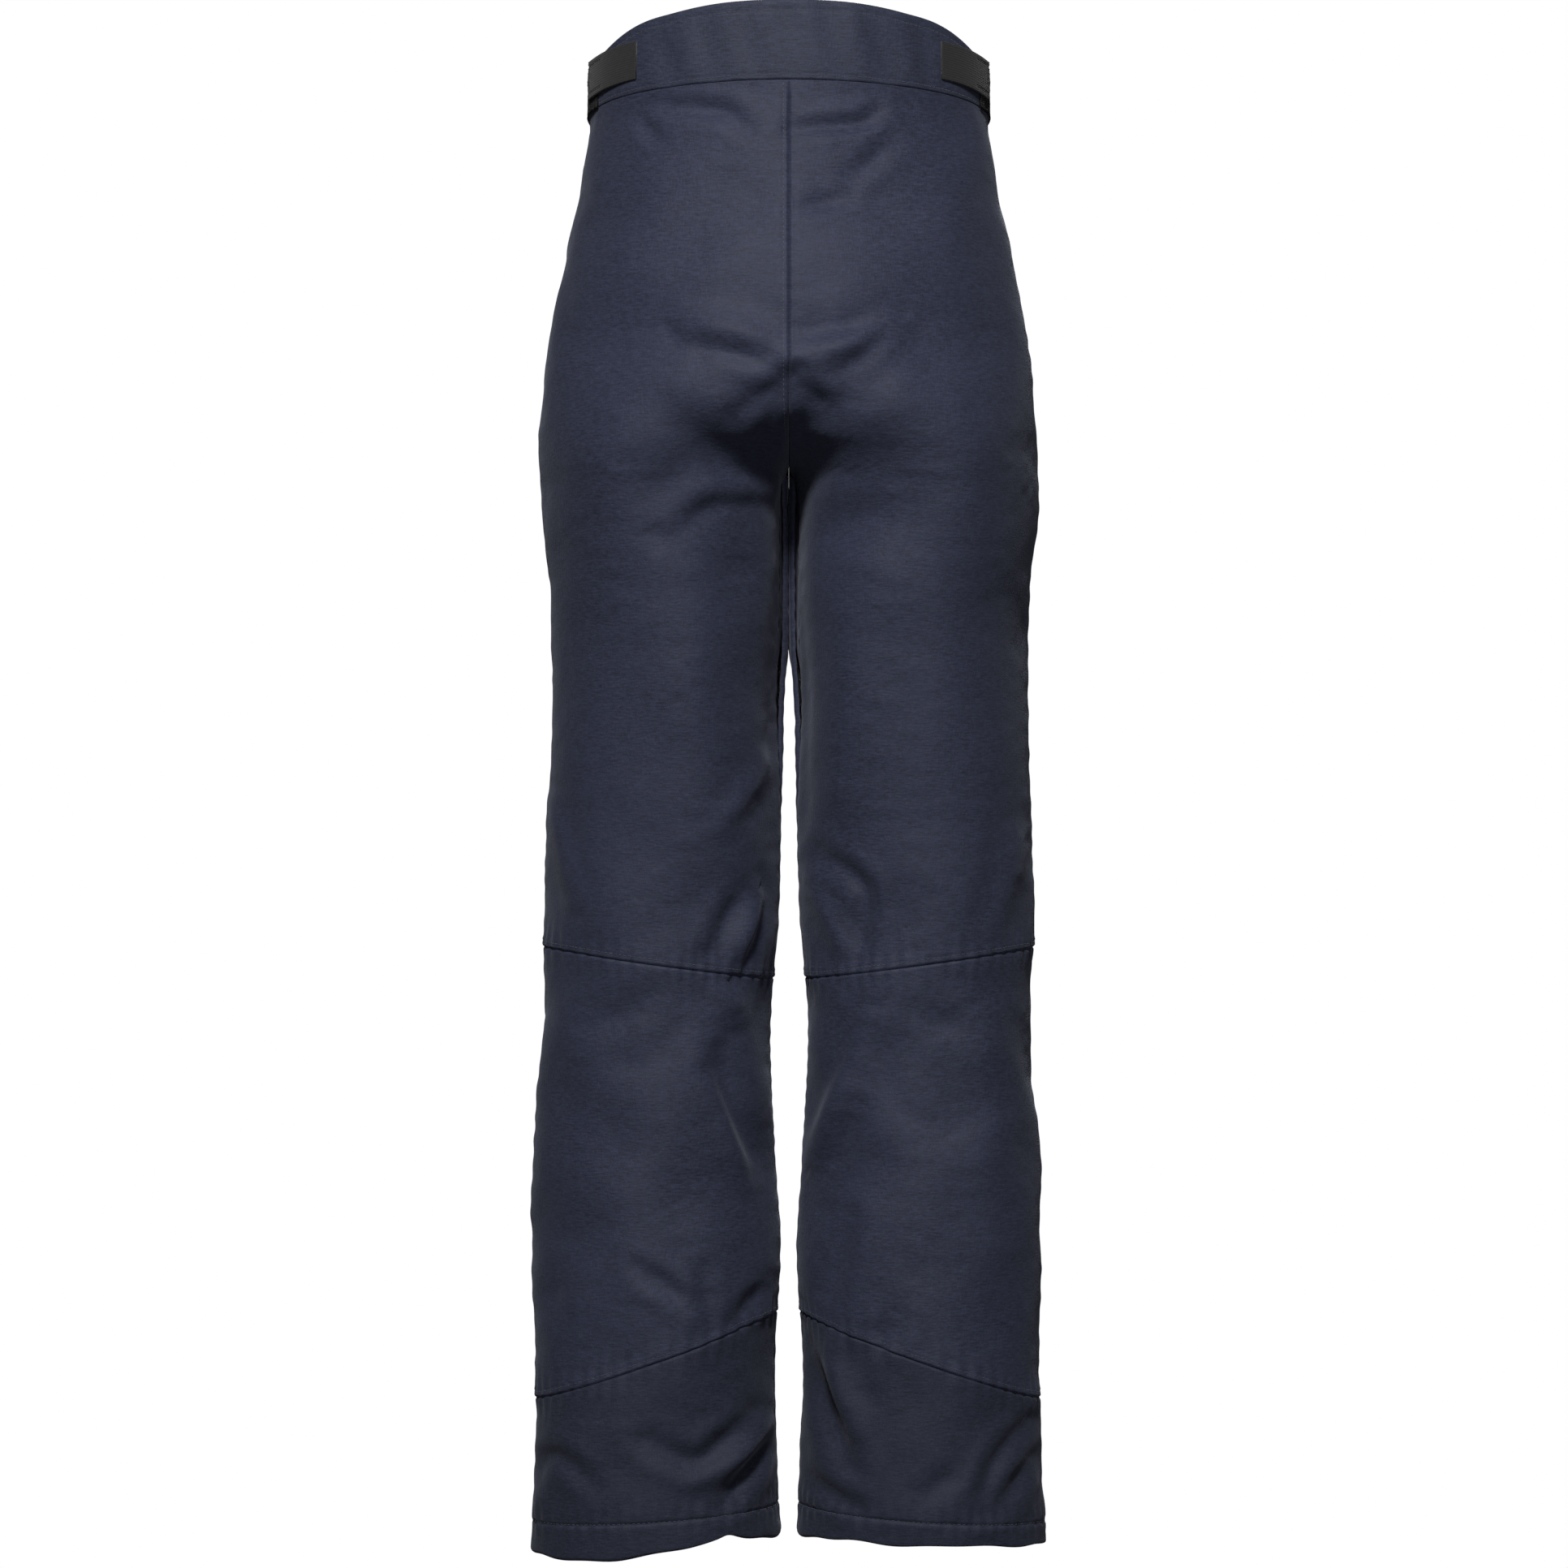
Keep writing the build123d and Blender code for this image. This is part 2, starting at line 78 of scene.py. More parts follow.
# Folds of the back, drawn as the wearer's back is seen: height, width, lean and (x, z) points.
# A positive lean puts the fold's trough on its right-hand side along the way it is drawn.
BACK_FOLDS = [
    (-2.6, 6, 0, [(-90, -36), (-60, -41), (-42, -44), (-27, -55)]),
    (-1.8, 5, 0, [(-101, -44), (-88, -59)]),
    (-2.8, 5, 0, [(1, -55), (28, -53), (49, -50), (58, -43)]),
    (-1.8, 6, 0, [(68, -66), (41, -86)]),
    (-1.8, 5, 0, [(2, -110), (41, -100)]),
    (3.2, 10, 1, [(-66, -186), (-32, -193), (-1, -207)]),
    (3.0, 10, 1, [(66, -188), (46, -199), (24, -203), (1, -207)]),
    (-2.2, 6, 0, [(63, -191), (49, -206), (29, -218)]),
    (2.0, 7, 0, [(-46, -212), (-3, -221)]),
    (-3.0, 7, 0, [(-1, -222), (-17, -234), (-36, -246)]),
    (-2.5, 6, 0, [(-8, -237), (-20, -264)]),
    (-2.5, 7, 0, [(2, -224), (15, -234), (24, -243)]),
    (-3.2, 12, 0, [(52, -222), (28, -240), (10, -252), (17, -270)]),
    (-2.6, 13, 0, [(-84, -244), (-58, -260), (-32, -272)]),
    (2.4, 10, 1, [(-80, -311), (-52, -293), (-10, -289)]),
    (-2.4, 14, 0, [(-31, -335), (-29, -356)]),
    (3.0, 22, 0, [(-70, -350), (-62, -393), (-66, -425), (-56, -470), (-52, -520)]),
    (2.2, 7, 0, [(-16, -475), (-47, -515)]),
    (2.6, 6, -1, [(-22, -563), (-38, -611)]),
    (-2.6, 6, 0, [(-32, -561), (-52, -600)]),
    (2.0, 6, 0, [(-159, -502), (-144, -566)]),
    (-2.2, 10, 0, [(22, -272), (8, -296)]),
    (-2.6, 16, 0, [(15, -317), (72, -311)]),
    (3.0, 20, 0, [(58, -352), (42, -387), (40, -440), (36, -485)]),
    (-2.0, 12, 0, [(22, -387), (18, -465)]),
    (-3.2, 6, 0, [(20, -533), (46, -553), (50, -570), (44, -606)]),
    (2.4, 6, 0, [(16, -553), (40, -607)]),
    (2.0, 7, 0, [(153, -524), (137, -588)]),
    (2.4, 7, 0, [(-54, -616), (-32, -642)]),
    (-3.2, 8, 0, [(-41, -656), (-45, -677), (-32, -717), (-12, -748)]),
    (2.2, 6, 0, [(-52, -690), (-26, -756)]),
    (-2.2, 20, 0, [(-66, -742), (-72, -790)]),
    (-2.4, 6, 0, [(-100, -809), (-66, -833)]),
    (-2.2, 6, 0, [(-57, -812), (-52, -852)]),
    (-2.4, 6, 0, [(-13, -822), (-33, -846)]),
    (-1.8, 8, 0, [(-154, -818), (-160, -840)]),
    (-3.6, 7, 0, [(-95, -925), (-62, -939), (-41, -928), (-20, -911)]),
    (2.8, 7, 0, [(-60, -950), (-38, -938), (-18, -921)]),
    (-3.6, 6, 0, [(-10, -930), (-25, -948), (-42, -970)]),
    (-2.4, 6, 0, [(-172, -960), (-164, -943), (-149, -939), (-128, -957)]),
    (2.8, 9, 1, [(57, -648), (36, -695), (16, -742)]),
    (-2.8, 7, 0, [(45, -705), (24, -748)]),
    (-2.8, 7, 0, [(42, -778), (26, -826)]),
    (2.2, 14, 0, [(124, -616), (137, -707), (132, -731), (137, -798)]),
    (-4.4, 8, 0, [(10, -870), (24, -908), (40, -944)]),
    (2.6, 8, 0, [(26, -868), (42, -915)]),
    (-2.6, 6, 0, [(13, -955), (48, -972)]),
    (-2.8, 6, 0, [(163, -915), (138, -941), (127, -972)]),
    (-2.6, 6, 0, [(163, -941), (137, -974)]),
    (-1.6, 7, 0, [(113, -941), (88, -966)]),
    (-2.0, 9, 0, [(86, -640), (118, -655)]),
    (-1.8, 9, 0, [(-96, -632), (-128, -650)]),
    (-2.0, 8, 0, [(70, -842), (52, -868)]),
]

# Folds of the front, seen as (x, z) through the wearer: the right leg's are on +X.
FRONT_FOLDS = [
    (-2.6, 7, 0, [(4, -226), (34, -214), (62, -196)]),
    (-2.4, 7, 0, [(-4, -229), (-30, -219), (-58, -204)]),
    (-2.6, 7, 0, [(3, -238), (26, -250), (40, -268)]),
    (-2.6, 7, 0, [(-3, -240), (-30, -246), (-52, -262)]),
    (2.4, 9, 0, [(20, -300), (64, -292), (100, -300)]),
    (2.4, 9, 0, [(-24, -312), (-70, -300), (-104, -306)]),
    (2.6, 20, 0, [(92, -330), (96, -420), (88, -520)]),
    (2.6, 20, 0, [(-92, -340), (-88, -430), (-94, -520)]),
    (-2.8, 8, 0, [(24, -560), (58, -572), (96, -566)]),
    (-2.6, 7, 0, [(36, -640), (72, -652), (110, -644)]),
    (-2.8, 8, 0, [(-30, -556), (-62, -574), (-100, -568)]),
    (-2.6, 7, 0, [(-40, -636), (-70, -650), (-118, -640)]),
    (-2.6, 8, 0, [(150, -590), (128, -604), (104, -612)]),
    (-2.6, 8, 0, [(-150, -586), (-126, -602), (-106, -616)]),
    (2.2, 16, 0, [(84, -680), (92, -760), (84, -830)]),
    (2.2, 16, 0, [(-84, -676), (-90, -770), (-82, -836)]),
    (-3.0, 7, 0, [(38, -902), (70, -930), (112, -934)]),
    (-2.8, 7, 0, [(60, -962), (100, -950), (140, -960)]),
    (-3.0, 7, 0, [(-30, -908), (-66, -932), (-104, -926)]),
    (-2.8, 7, 0, [(-64, -954), (-104, -962), (-140, -948)]),
]

# Points of a fold's path between two of its given points, and the step of the panels' grids.
PATH_STEPS = 7
PANEL_STEP = 2.3

# Depths below the waist between which the thighs start to touch, and half of the front's width.
TOUCHING = (287, 305)
FRONT_RADIUS = 134.5

# How far each hem's edge hangs above its straight line at some distances from the middle.
HEM_DROOP = {
    1: [(2, -2), (20, 1.5), (41, 3.4), (78, 2.9), (115, 5.5), (145, 5), (170, 4.5)],
    -1: [(5, -2), (25, 3), (38, 6.5), (50, 3.5), (85, -1), (121, -4.7), (150, -4), (175, -1.6)],
}

# Zips: length and the two ends of each, as the CAD model has them; half of the window in the
# cloth, how far from the zip's plane cloth still counts as its own, and the coil's pitch.
POCKET_ZIP, FLY_ZIP = 130, 132
POCKET_ENDS = ((-104, np.radians(56)), (-236, np.radians(44)))
FLY_HEIGHTS = (-72, -208)
WINDOW_HALF, ZIP_REACH, TOOTH_PITCH = 5.2, 25, 1.25
POUCH_ANGLES, POUCH_HEIGHTS = np.radians((22, 74)), (-90, -274)

# Waist strap: its angles, width and ribs, its distance from the middle, and the loop patch's ends.
STRAP_ROOT, STRAP_LIFT, STRAP_END = np.radians((-40.8, -24, -12))
STRAP_WIDTH, RIB_PITCH, STRAP_RADIUS = 25.4, 1.55, 133
LOOP_ENDS = np.radians((-19, 36))

# A stitch: thickness at places along its length, and the number of its sides.
STITCH_SHAPE = ((-0.5, 0.15), (-0.42, 0.8), (0, 1.15), (0.42, 0.8), (0.5, 0.15))
STITCH_SIDES = 5

# The order in which a hanger ribbon's rings of points are joined.
RIBBON_RINGS = (0, 1, 2, 3, 7, 6, 5, 4, 0)

# Scale of a wave texture whose bands are 1 mm apart.
WAVES_PER_MM = 628.3

# How much of the settled cloth's movement is kept, and at most how many millimetres.
DRAPE_SHARE, DRAPE_LIMIT = 0.3, 2.5

FLOOR = -1060

RANDOM = np.random.default_rng(7)
LATTICE = RANDOM.standard_normal((32, 32, 32))


# Shapes shared with the CAD model.


def profile(z, column):
    """One column of the outline at each height, joined by smooth cubics."""
    heights, values = OUTLINE[:, 0], OUTLINE[:, column]
    ends = np.arange(len(heights))
    low, high = np.maximum(ends - 1, 0), np.minimum(ends + 1, len(heights) - 1)
    slopes = (values[high] - values[low]) / (heights[high] - heights[low])
    k = np.clip(np.searchsorted(heights, z) - 1, 0, len(heights) - 2)
    step = heights[k + 1] - heights[k]
    s = (z - heights[k]) / step
    rise = values[k + 1] - values[k]
    bend_a, bend_b = slopes[k] * step - rise, rise - slopes[k + 1] * step
    return values[k] + s * rise + s * (1 - s) * ((1 - s) * bend_a + s * bend_b)


def smooth(x, low=0.0, high=1.0):
    """0 below low, 1 above high and a smooth ramp between."""
    s = np.clip((x - low) / (high - low), 0, 1)
    return s * s * (3 - 2 * s)


def section(z):
    """Centre, half width, half depth and depth's middle of a half's section at each height."""
    outer, gap, depth, middle = (profile(z, column) for column in range(1, 5))
    inner = gap - (outer + gap) * smooth(z, FORK, FORK + RISE)
    return (outer + inner) / 2, (outer - inner) / 2, depth, middle


def base(side, z, t, depth=0.0):
    """The plain outline's point at height z and angle t, some depth inside it."""
    centre, across, half, middle = section(z)
    x = centre + (across - depth) * np.cos(t)
    y = middle + (half - depth) * np.sin(t)
    return np.stack([side * x, y, z + 0 * t], -1)


def seam_angle(z):
    """The angle at which a half meets the middle seam, or the inseam below the fork."""
    centre, across, _, _ = section(z)
    return np.arccos(np.clip(-centre / across, -1, 1))


def normals(side, z, t):
    """Outward directions of the plain outline."""
    along = base(side, z, t + 0.004) - base(side, z, t - 0.004)
    up = base(side, z + 0.5, t) - base(side, z - 0.5, t)
    out = np.cross(along, up) * side
    return out / np.maximum(np.linalg.norm(out, axis=-1, keepdims=True), 1e-9)


def line_height(line, x):
    """Height of a straight seam at a distance from the middle."""
    (x0, z0), (x1, z1) = line
    return z0 + (np.abs(x) - x0) * (z1 - z0) / (x1 - x0)


def band_top(y):
    """Height of the waistband's top edge: raised at the back and dipping at the sides."""
    dip = smooth(y, -82, -30) * (1 - smooth(y, 0, 90))
    return band_height(BAND_TOP, y) + 3 * smooth(-y, 80, 104) - 9 * dip


def band_height(curve, y):
    """Height of a waistband edge in the side view."""
    ys, zs = curve[:, 0], curve[:, 1]
    result = np.zeros_like(y)
    for i in range(5):
        term = np.full_like(y, zs[i])
        for j in range(5):
            if j != i:
                term = term * (y - ys[j]) / (ys[i] - ys[j])
        result += term
    return result


# Wrinkles.


def noise(p, size, seed):
    """Smooth noise of a given feature size at each point, about -1 to 1."""
    q = p / size + seed * np.array([7.13, 3.71, 5.37])
    cell = np.floor(q).astype(int)
    f = q - cell
    f = f * f * (3 - 2 * f)
    total = 0
    for corner in range(8):
        bits = [(corner >> axis) & 1 for axis in range(3)]
        weight = 1
        for axis in range(3):
            weight = weight * (f[..., axis] if bits[axis] else 1 - f[..., axis])
        index = [(cell[..., axis] + bits[axis]) % 32 for axis in range(3)]
        total = total + weight * LATTICE[index[0], index[1], index[2]]
    return total * 0.7


def rounded_path(points):
    """A smooth path through a fold's points."""
    p = np.array(points, float)
    if len(p) == 2:
        return p[0] + (p[1] - p[0]) * np.linspace(0, 1, PATH_STEPS)[:, None]
    ends = np.vstack([2 * p[0] - p[1], p, 2 * p[-1] - p[-2]])
    s = np.linspace(0, 1, PATH_STEPS, endpoint=False)[:, None]
    path = []
    for a, b, c, d in zip(ends, ends[1:], ends[2:], ends[3:]):
        square, cube = 2 * a - 5 * b + 4 * c - d, 3 * b - a - 3 * c + d
        path.append(b + s * (c - a) / 2 + s**2 * square / 2 + s**3 * cube / 2)
    return np.vstack([*path, p[-1:]])


def nearest_on_path(path, x, z):
    """Distance to a path, the side of it and how far along it, from 0 to 1, for each point."""
    best, signed, along = np.full(x.shape, 1e9), np.zeros_like(x), np.zeros_like(x)
    steps = len(path) - 1
    for i in range(steps):
        (ax, az), (bx, bz) = path[i], path[i + 1]
        dx, dz = bx - ax, bz - az
        s = np.clip(((x - ax) * dx + (z - az) * dz) / (dx * dx + dz * dz), 0, 1)
        ox, oz = x - ax - s * dx, z - az - s * dz
        d = ox * ox + oz * oz
        closer = d < best
        best = np.where(closer, d, best)
        signed = np.where(closer, np.sign(oz * dx - ox * dz), signed)
        along = np.where(closer, (i + s) / steps, along)
    return np.sqrt(best), signed, along


def fold_height(folds, x, z):
    """The folds' combined height at each point of the flat view."""
    total = np.zeros_like(x)
    for height, width, lean, points in folds:
        path = rounded_path(points)
        near = (x > path[:, 0].min() - 4 * width) & (x < path[:, 0].max() + 4 * width)
        near &= (z > path[:, 1].min() - 4 * width) & (z < path[:, 1].max() + 4 * width)
        if not near.any():
            continue
        d, signed, along = nearest_on_path(path, x[near], z[near])
        taper = 0.25 + 0.75 * np.sin(PI * np.clip(along, 0.04, 0.96)) ** 0.7
        shape = np.exp(-(d / width) ** 2)
        shape -= 0.35 * np.exp(-((d - 2.1 * width) / width) ** 2)
        if lean:
            shape -= 0.8 * np.exp(-((d * -signed * lean - 1.3 * width) / (0.7 * width)) ** 2)
        total[near] += height * taper * shape
    return total


def seam_shape(d):
    """Groove of a seam and the topstitched roll above it, at distance d above the seam."""
    roll = smooth(d, 0.4, 1.6) * (1 - smooth(d, 5.4, 6.8))
    stitch = np.exp(-((d - 4.0) / 0.7) ** 2)
    return -0.8 * np.exp(-(d / 0.8) ** 2) + 0.5 * roll - 0.4 * stitch


def pucker(d, along, reach, pitch, height, seed):
    """Small ripples that a seam's thread draws into the cloth beside it."""
    spread = np.exp(-(d / reach) ** 2)
    drift = 1.4 * np.sin(along / 47 + seed * 3) + 1.1 * np.sin(along / 29 + seed)
    return height * spread * np.sin(2 * PI * along / pitch + drift * 2)


def hollow_for_zips(p):
    """How far each point must move so that the cloth lies level round the straight zips."""
    move = np.zeros_like(p)
    for origin, x_dir, y_dir, z_dir, length in ZIPS:
        q = p - origin
        lx, ly, lz = q @ x_dir, q @ y_dir, q @ z_dir
        beyond = smooth(np.abs(lx), length / 2 + 4, length / 2 + 26)
        weight = (1 - smooth(np.abs(ly), 9, 34)) * (1 - beyond) * (np.abs(lz) < ZIP_REACH)
        move += (weight * (0.2 - lz))[..., None] * z_dir
    return move


def near_zips(p):
    """1 round the zips, fading to 0 away from them."""
    near = np.zeros(p.shape[:-1])
    for origin, x_dir, y_dir, z_dir, length in ZIPS:
        q = p - origin
        beyond = smooth(np.abs(q @ x_dir), length / 2, length / 2 + 22)
        here = (1 - smooth(np.abs(q @ y_dir), 8, 22)) * (1 - beyond)
        near = np.maximum(near, here * (np.abs(q @ z_dir) < ZIP_REACH))
    return near


def wrinkles(z, t, p):
    """Outward displacement of the shell cloth in millimetres."""
    x, y = p[..., 0], p[..., 1]
    back = smooth(-np.sin(t), 0.02, 0.4)
    front = smooth(np.sin(t), 0.02, 0.4)
    height = 1.35 * (back * fold_height(BACK_FOLDS, x, z) + front * fold_height(FRONT_FOLDS, x, z))
    stretched = p * np.array([1, 1, 0.4])
    lower = smooth(-z, 380, 900)
    height += (1.5 + 0.9 * lower) * noise(stretched, 70, 1)
    height += (0.6 + 0.35 * lower) * noise(p * np.array([1, 1, 0.8]), 31, 3)
    height += 0.28 * noise(p * np.array([1, 1, 1.8]), 13, 5)
    inner = smooth(t, 1.7, 2.4) * (1 - smooth(t, 2.95, 3.12))
    height += 7 * inner * smooth(-z, 235, 275) * (1 - smooth(-z, 355, 430))
    height -= 6 * smooth(-t, 2.45, 2.95) * smooth(-z, 236, 315) * (1 - smooth(-z, 400, 540))
    return height


def seams(side, z, t, p):
    """Grooves, rolls and puckers of the seams, in millimetres."""
    x, y = p[..., 0], p[..., 1]
    radius = np.linalg.norm(base(side, z, t + 0.01) - base(side, z, t - 0.01), axis=-1) / 0.02
    round_leg = t * 85 * side
    height = 0
    for line, seed, reach in ((KNEE, 1, 13), (ANKLE, 2, 13), (HEM, 3, 10)):
        d = z - line_height(line, x)
        height = height + seam_shape(d) * (line is not HEM)
        height = height + pucker(d - 2, round_leg, reach, 12, 0.6, seed)
        height = height - 0.8 * np.exp(-(d / 1.2) ** 2) * (line is HEM)
    d = z - band_height(BAND_SEAM, y)
    height = height + pucker(d, round_leg, 10, 15, 0.4, 4) - 0.7 * np.exp(-(d / 2.5) ** 2)
    middle = (seam_angle(z) - np.abs(t)) * radius
    height = height - 1.6 * np.exp(-(middle / 1.1) ** 2) + pucker(middle, z, 9, 13, 0.2, 5)
    height = height - 0.45 * np.exp(-((middle - 3.6) / 0.8) ** 2) * (z > FORK)
    outer = np.abs(t) * radius
    height = height - 1.0 * np.exp(-(outer / 1.3) ** 2) + pucker(outer, z, 10, 17, 0.22, 6)
    return height


DRAPE = {}


def draped(side, z, t, p):
    """The simulated cloth's offset from the plain outline, read off its grid."""
    if side not in DRAPE:
        return 0
    top, bottom = band_height(BAND_SEAM, p[..., 1]), line_height(EDGE, p[..., 0])
    grid = DRAPE[side]
    row = np.clip((top - z) / (top - bottom), 0, 1) * (grid.shape[0] - 1)
    column = (np.clip(t / seam_angle(z), -1, 1) + 1) / 2 * (grid.shape[1] - 1)
    return sample(grid, row, column)


def sample(grid, row, column):
    """Smoothly interpolated values of a grid at fractional rows and columns."""
    r = np.minimum(row.astype(int), grid.shape[0] - 2)
    c = np.minimum(column.astype(int), grid.shape[1] - 2)
    fr, fc = row - r, column - c
    total = 0
    for i in range(-1, 3):
        wr = kernel(fr - i)
        ri = np.clip(r + i, 0, grid.shape[0] - 1)
        for j in range(-1, 3):
            cj = np.clip(c + j, 0, grid.shape[1] - 1)
            total = total + (wr * kernel(fc - j))[..., None] * grid[ri, cj]
    return total


def kernel(d):
    """Cubic weights between grid points."""
    d = np.abs(d)
    near = ((1.5 * d - 2.5) * d) * d + 1
    far = ((-0.5 * d + 2.5) * d - 4) * d + 2
    return np.where(d < 1, near, np.where(d < 2, far, 0))


def cloth(side, z, t, depth=0.0, detail=1.0):
    """The finished cloth's point at height z and angle t, some depth inside it."""
    z, t = np.broadcast_arrays(np.asarray(z, float), np.asarray(t, float))
    p = base(side, z, t)
    n = normals(side, z, t)
    height = wrinkles(z, t, p) + detail * seams(side, z, t, p)
    free = smooth(band_height(BAND_SEAM, p[..., 1]) - z, -1, 12)[..., None]
    shaped = p + free * (n * height[..., None] + draped(side, z, t, p))
    shaped = shaped + hollow_for_zips(shaped) - n * np.asarray(depth, float)[..., None]
    _, across, half, _ = section(z)
    seam = (seam_angle(z) - np.abs(t)) * np.hypot(across * np.sin(t), half * np.cos(t))
    straight = (1 - smooth(seam, 1, 12)) * smooth(z, FORK - 2, FORK + 8)
    shaped[..., 0] += straight * (p[..., 0] - shaped[..., 0])
    return parted(side, shaped)


def parted(side, p):
    """Keeps each leg on its own side of the wavy surface at which the thighs touch."""
    meeting = 1.6 * np.sin(p[..., 1] / 8 + p[..., 2] / 37) * smooth(-p[..., 2], *TOUCHING)
    p[..., 0] = side * np.maximum(side * p[..., 0], side * meeting + 0.04)
    return p


def round_waist(z, t, depth):
    """The cloth's point with t running on from the right half's front into the left half."""
    z, t = np.broadcast_arrays(z, t)
    right = cloth(1, z, np.minimum(t, PI / 2), depth)
    left = cloth(-1, z, PI - np.maximum(t, PI / 2), depth)
    return np.where((t > PI / 2)[..., None], left, right)


def place(side, v, u, top, bottom, start, end):
    """Heights and angles of a grid between two seams and two edges that follow the surface."""
    z = np.full(np.broadcast(v, u).shape, -400.0)
    t = np.zeros_like(z)
    for _ in range(7):
        t = start(z) + (end(z) - start(z)) * u
        p = base(side, z, t)
        z = top(p) + (bottom(p) - top(p)) * v
    return z, t


def band_seam(p):
    """Height of the seam below the waistband."""
    return band_height(BAND_SEAM, p[..., 1]) - 0.2


def across_leg(line, shift=0.0):
    """The height of a seam across the leg, as a function of the point."""
    return lambda p: line_height(line, p[..., 0]) + shift


def spaced(length, step):
    """Positions from 0 to 1, closer at both ends, where the seams are."""
    ends = np.array([0, 0.5, 1.1, 1.8, 2.7, 4.0, 5.4])
    inside = np.linspace(5.4, length - 5.4, max(int(length / step), 3))[1:-1]
    return np.concatenate([ends, inside, length - ends[::-1]]) / length


# Meshes.


def mesh_object(name, points, faces, material, body):
    """A smooth-shaded mesh piece from points in millimetres, riding on a body."""
    mesh = bpy.data.meshes.new(name)
    mesh.from_pydata((np.asarray(points).reshape(-1, 3) * MM).tolist(), [], faces)
    mesh.validate()
    mesh.update()
    mesh.polygons.foreach_set("use_smooth", [True] * len(mesh.polygons))
    mesh.materials.append(material)
    piece = bpy.data.objects.new(name, mesh)
    bpy.context.scene.collection.objects.link(piece)
    if body:
        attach(piece, body)
    return piece


def grid_faces(rows, columns, closed=False, flip=False, keep=None, start=0):
    """Quads of a grid of points, closed round its columns if asked."""
    last = columns if closed else columns - 1
    r, c = np.meshgrid(np.arange(rows - 1), np.arange(last), indexing="ij")
    a = r * columns + c
    b = r * columns + (c + 1) % columns
    quads = np.stack([a, b, b + columns, a + columns], -1).reshape(-1, 4) + start
    if flip:
        quads = quads[:, ::-1]
    if keep is not None:
        quads = quads[keep.reshape(-1)]
    return quads.tolist()


def turned_in(points, inward, amount=2.0):
    """A grid with one more row and column all round, turned in towards the seam allowance."""
    p = np.pad(points, ((1, 1), (1, 1), (0, 0)), mode="edge")
    n = np.pad(inward, ((1, 1), (1, 1), (0, 0)), mode="edge")
    rim = np.ones(p.shape[:2], bool)
    rim[1:-1, 1:-1] = False
    p[rim] += n[rim] * amount
    return p


def swept(name, rings, material, body):
    """A closed piece made by joining rings of points, such as a folded band."""
    rings = np.asarray(rings)
    rows, columns = rings.shape[:2]
    faces = grid_faces(rows, columns, True)
    faces.append(list(range(columns))[::-1])
    faces.append(list(range((rows - 1) * columns, rows * columns)))
    piece = mesh_object(name, rings, faces, material, body)
    fix_normals(piece)
    return piece


def two_sided(name, above, below, material, flip, closed=False):
    """A thin piece of the garment from the grids of its two faces."""
    rows, columns = above.shape[:2]
    faces = grid_faces(rows, columns, closed, flip)
    faces += grid_faces(rows, columns, closed, not flip, start=rows * columns)
    return mesh_object(name, np.stack([above, below]), faces, material, "trousers")


def fix_normals(piece):
    """Turns a closed piece's faces outwards."""
    bm = bmesh.new()
    bm.from_mesh(piece.data)
    bmesh.ops.recalc_face_normals(bm, faces=bm.faces)
    bm.to_mesh(piece.data)
    bm.free()


def along_path(path, values, places):
    """Values given at a path's points, read at places along it."""
    return np.stack([np.interp(places, path, values[:, axis]) for axis in range(3)], -1)


def unit(vectors):
    return vectors / np.maximum(np.linalg.norm(vectors, axis=1, keepdims=True), 1e-9)


def stitch_points(path, outward, length=2.6, gap=0.9, radius=0.24):
    """Points and faces of a row of stitches along a path, each a short thread lying on the cloth."""
    steps = np.linalg.norm(np.diff(path, axis=0), axis=1)
    distance = np.concatenate([[0], np.cumsum(steps)])
    count = int(distance[-1] / (length + gap))
    if count < 1:
        return np.zeros((0, 3)), []
    centres = (np.arange(count) + 0.5) * distance[-1] / count
    out = along_path(distance, outward, centres)
    ahead = along_path(distance, path, centres + length / 2)
    along = unit(ahead - along_path(distance, path, centres - length / 2))
    across = unit(np.cross(along, out))
    points, faces = [], []
    for offset, size in STITCH_SHAPE:
        centre = along_path(distance, path, centres + offset * length)
        for angle in np.arange(STITCH_SIDES) * 2 * PI / STITCH_SIDES:
            points.append(centre + radius * size * (np.cos(angle) * across + np.sin(angle) * out))
    points = np.stack(points, 1).reshape(-1, 3)
    block = len(STITCH_SHAPE) * STITCH_SIDES
    for k in range(count):
        faces += grid_faces(len(STITCH_SHAPE), STITCH_SIDES, True, start=k * block)
    return points, faces


def stitched(name, rows, body, material, **sizes):
    """One piece holding several rows of stitches."""
    points, faces, start = [], [], 0
    for path, outward in rows:
        p, f = stitch_points(path, outward, **sizes)
        faces += [[i + start for i in face] for face in f]
        points.append(p)
        start += len(p)
    return mesh_object(name, np.vstack(points), faces, material, body)


# Materials.


def node(tree, kind, **values):
    """A shader node with its settings and constant inputs."""
    made = tree.nodes.new(kind)
    for key, value in values.items():
        if key in made.inputs:
            made.inputs[key].default_value = value
        else:
            setattr(made, key, value)
    return made


def mapped_noise(tree, coordinates, scale, size, detail=3.0, roughness=0.55):
    """A noise value over coordinates stretched by scale."""
    mapping = node(tree, "ShaderNodeMapping", Scale=scale)
    tree.links.new(coordinates, mapping.inputs["Vector"])
    made = node(tree, "ShaderNodeTexNoise", Scale=size, Detail=detail, Roughness=roughness)
    tree.links.new(mapping.outputs["Vector"], made.inputs["Vector"])
    return made.outputs["Fac"]


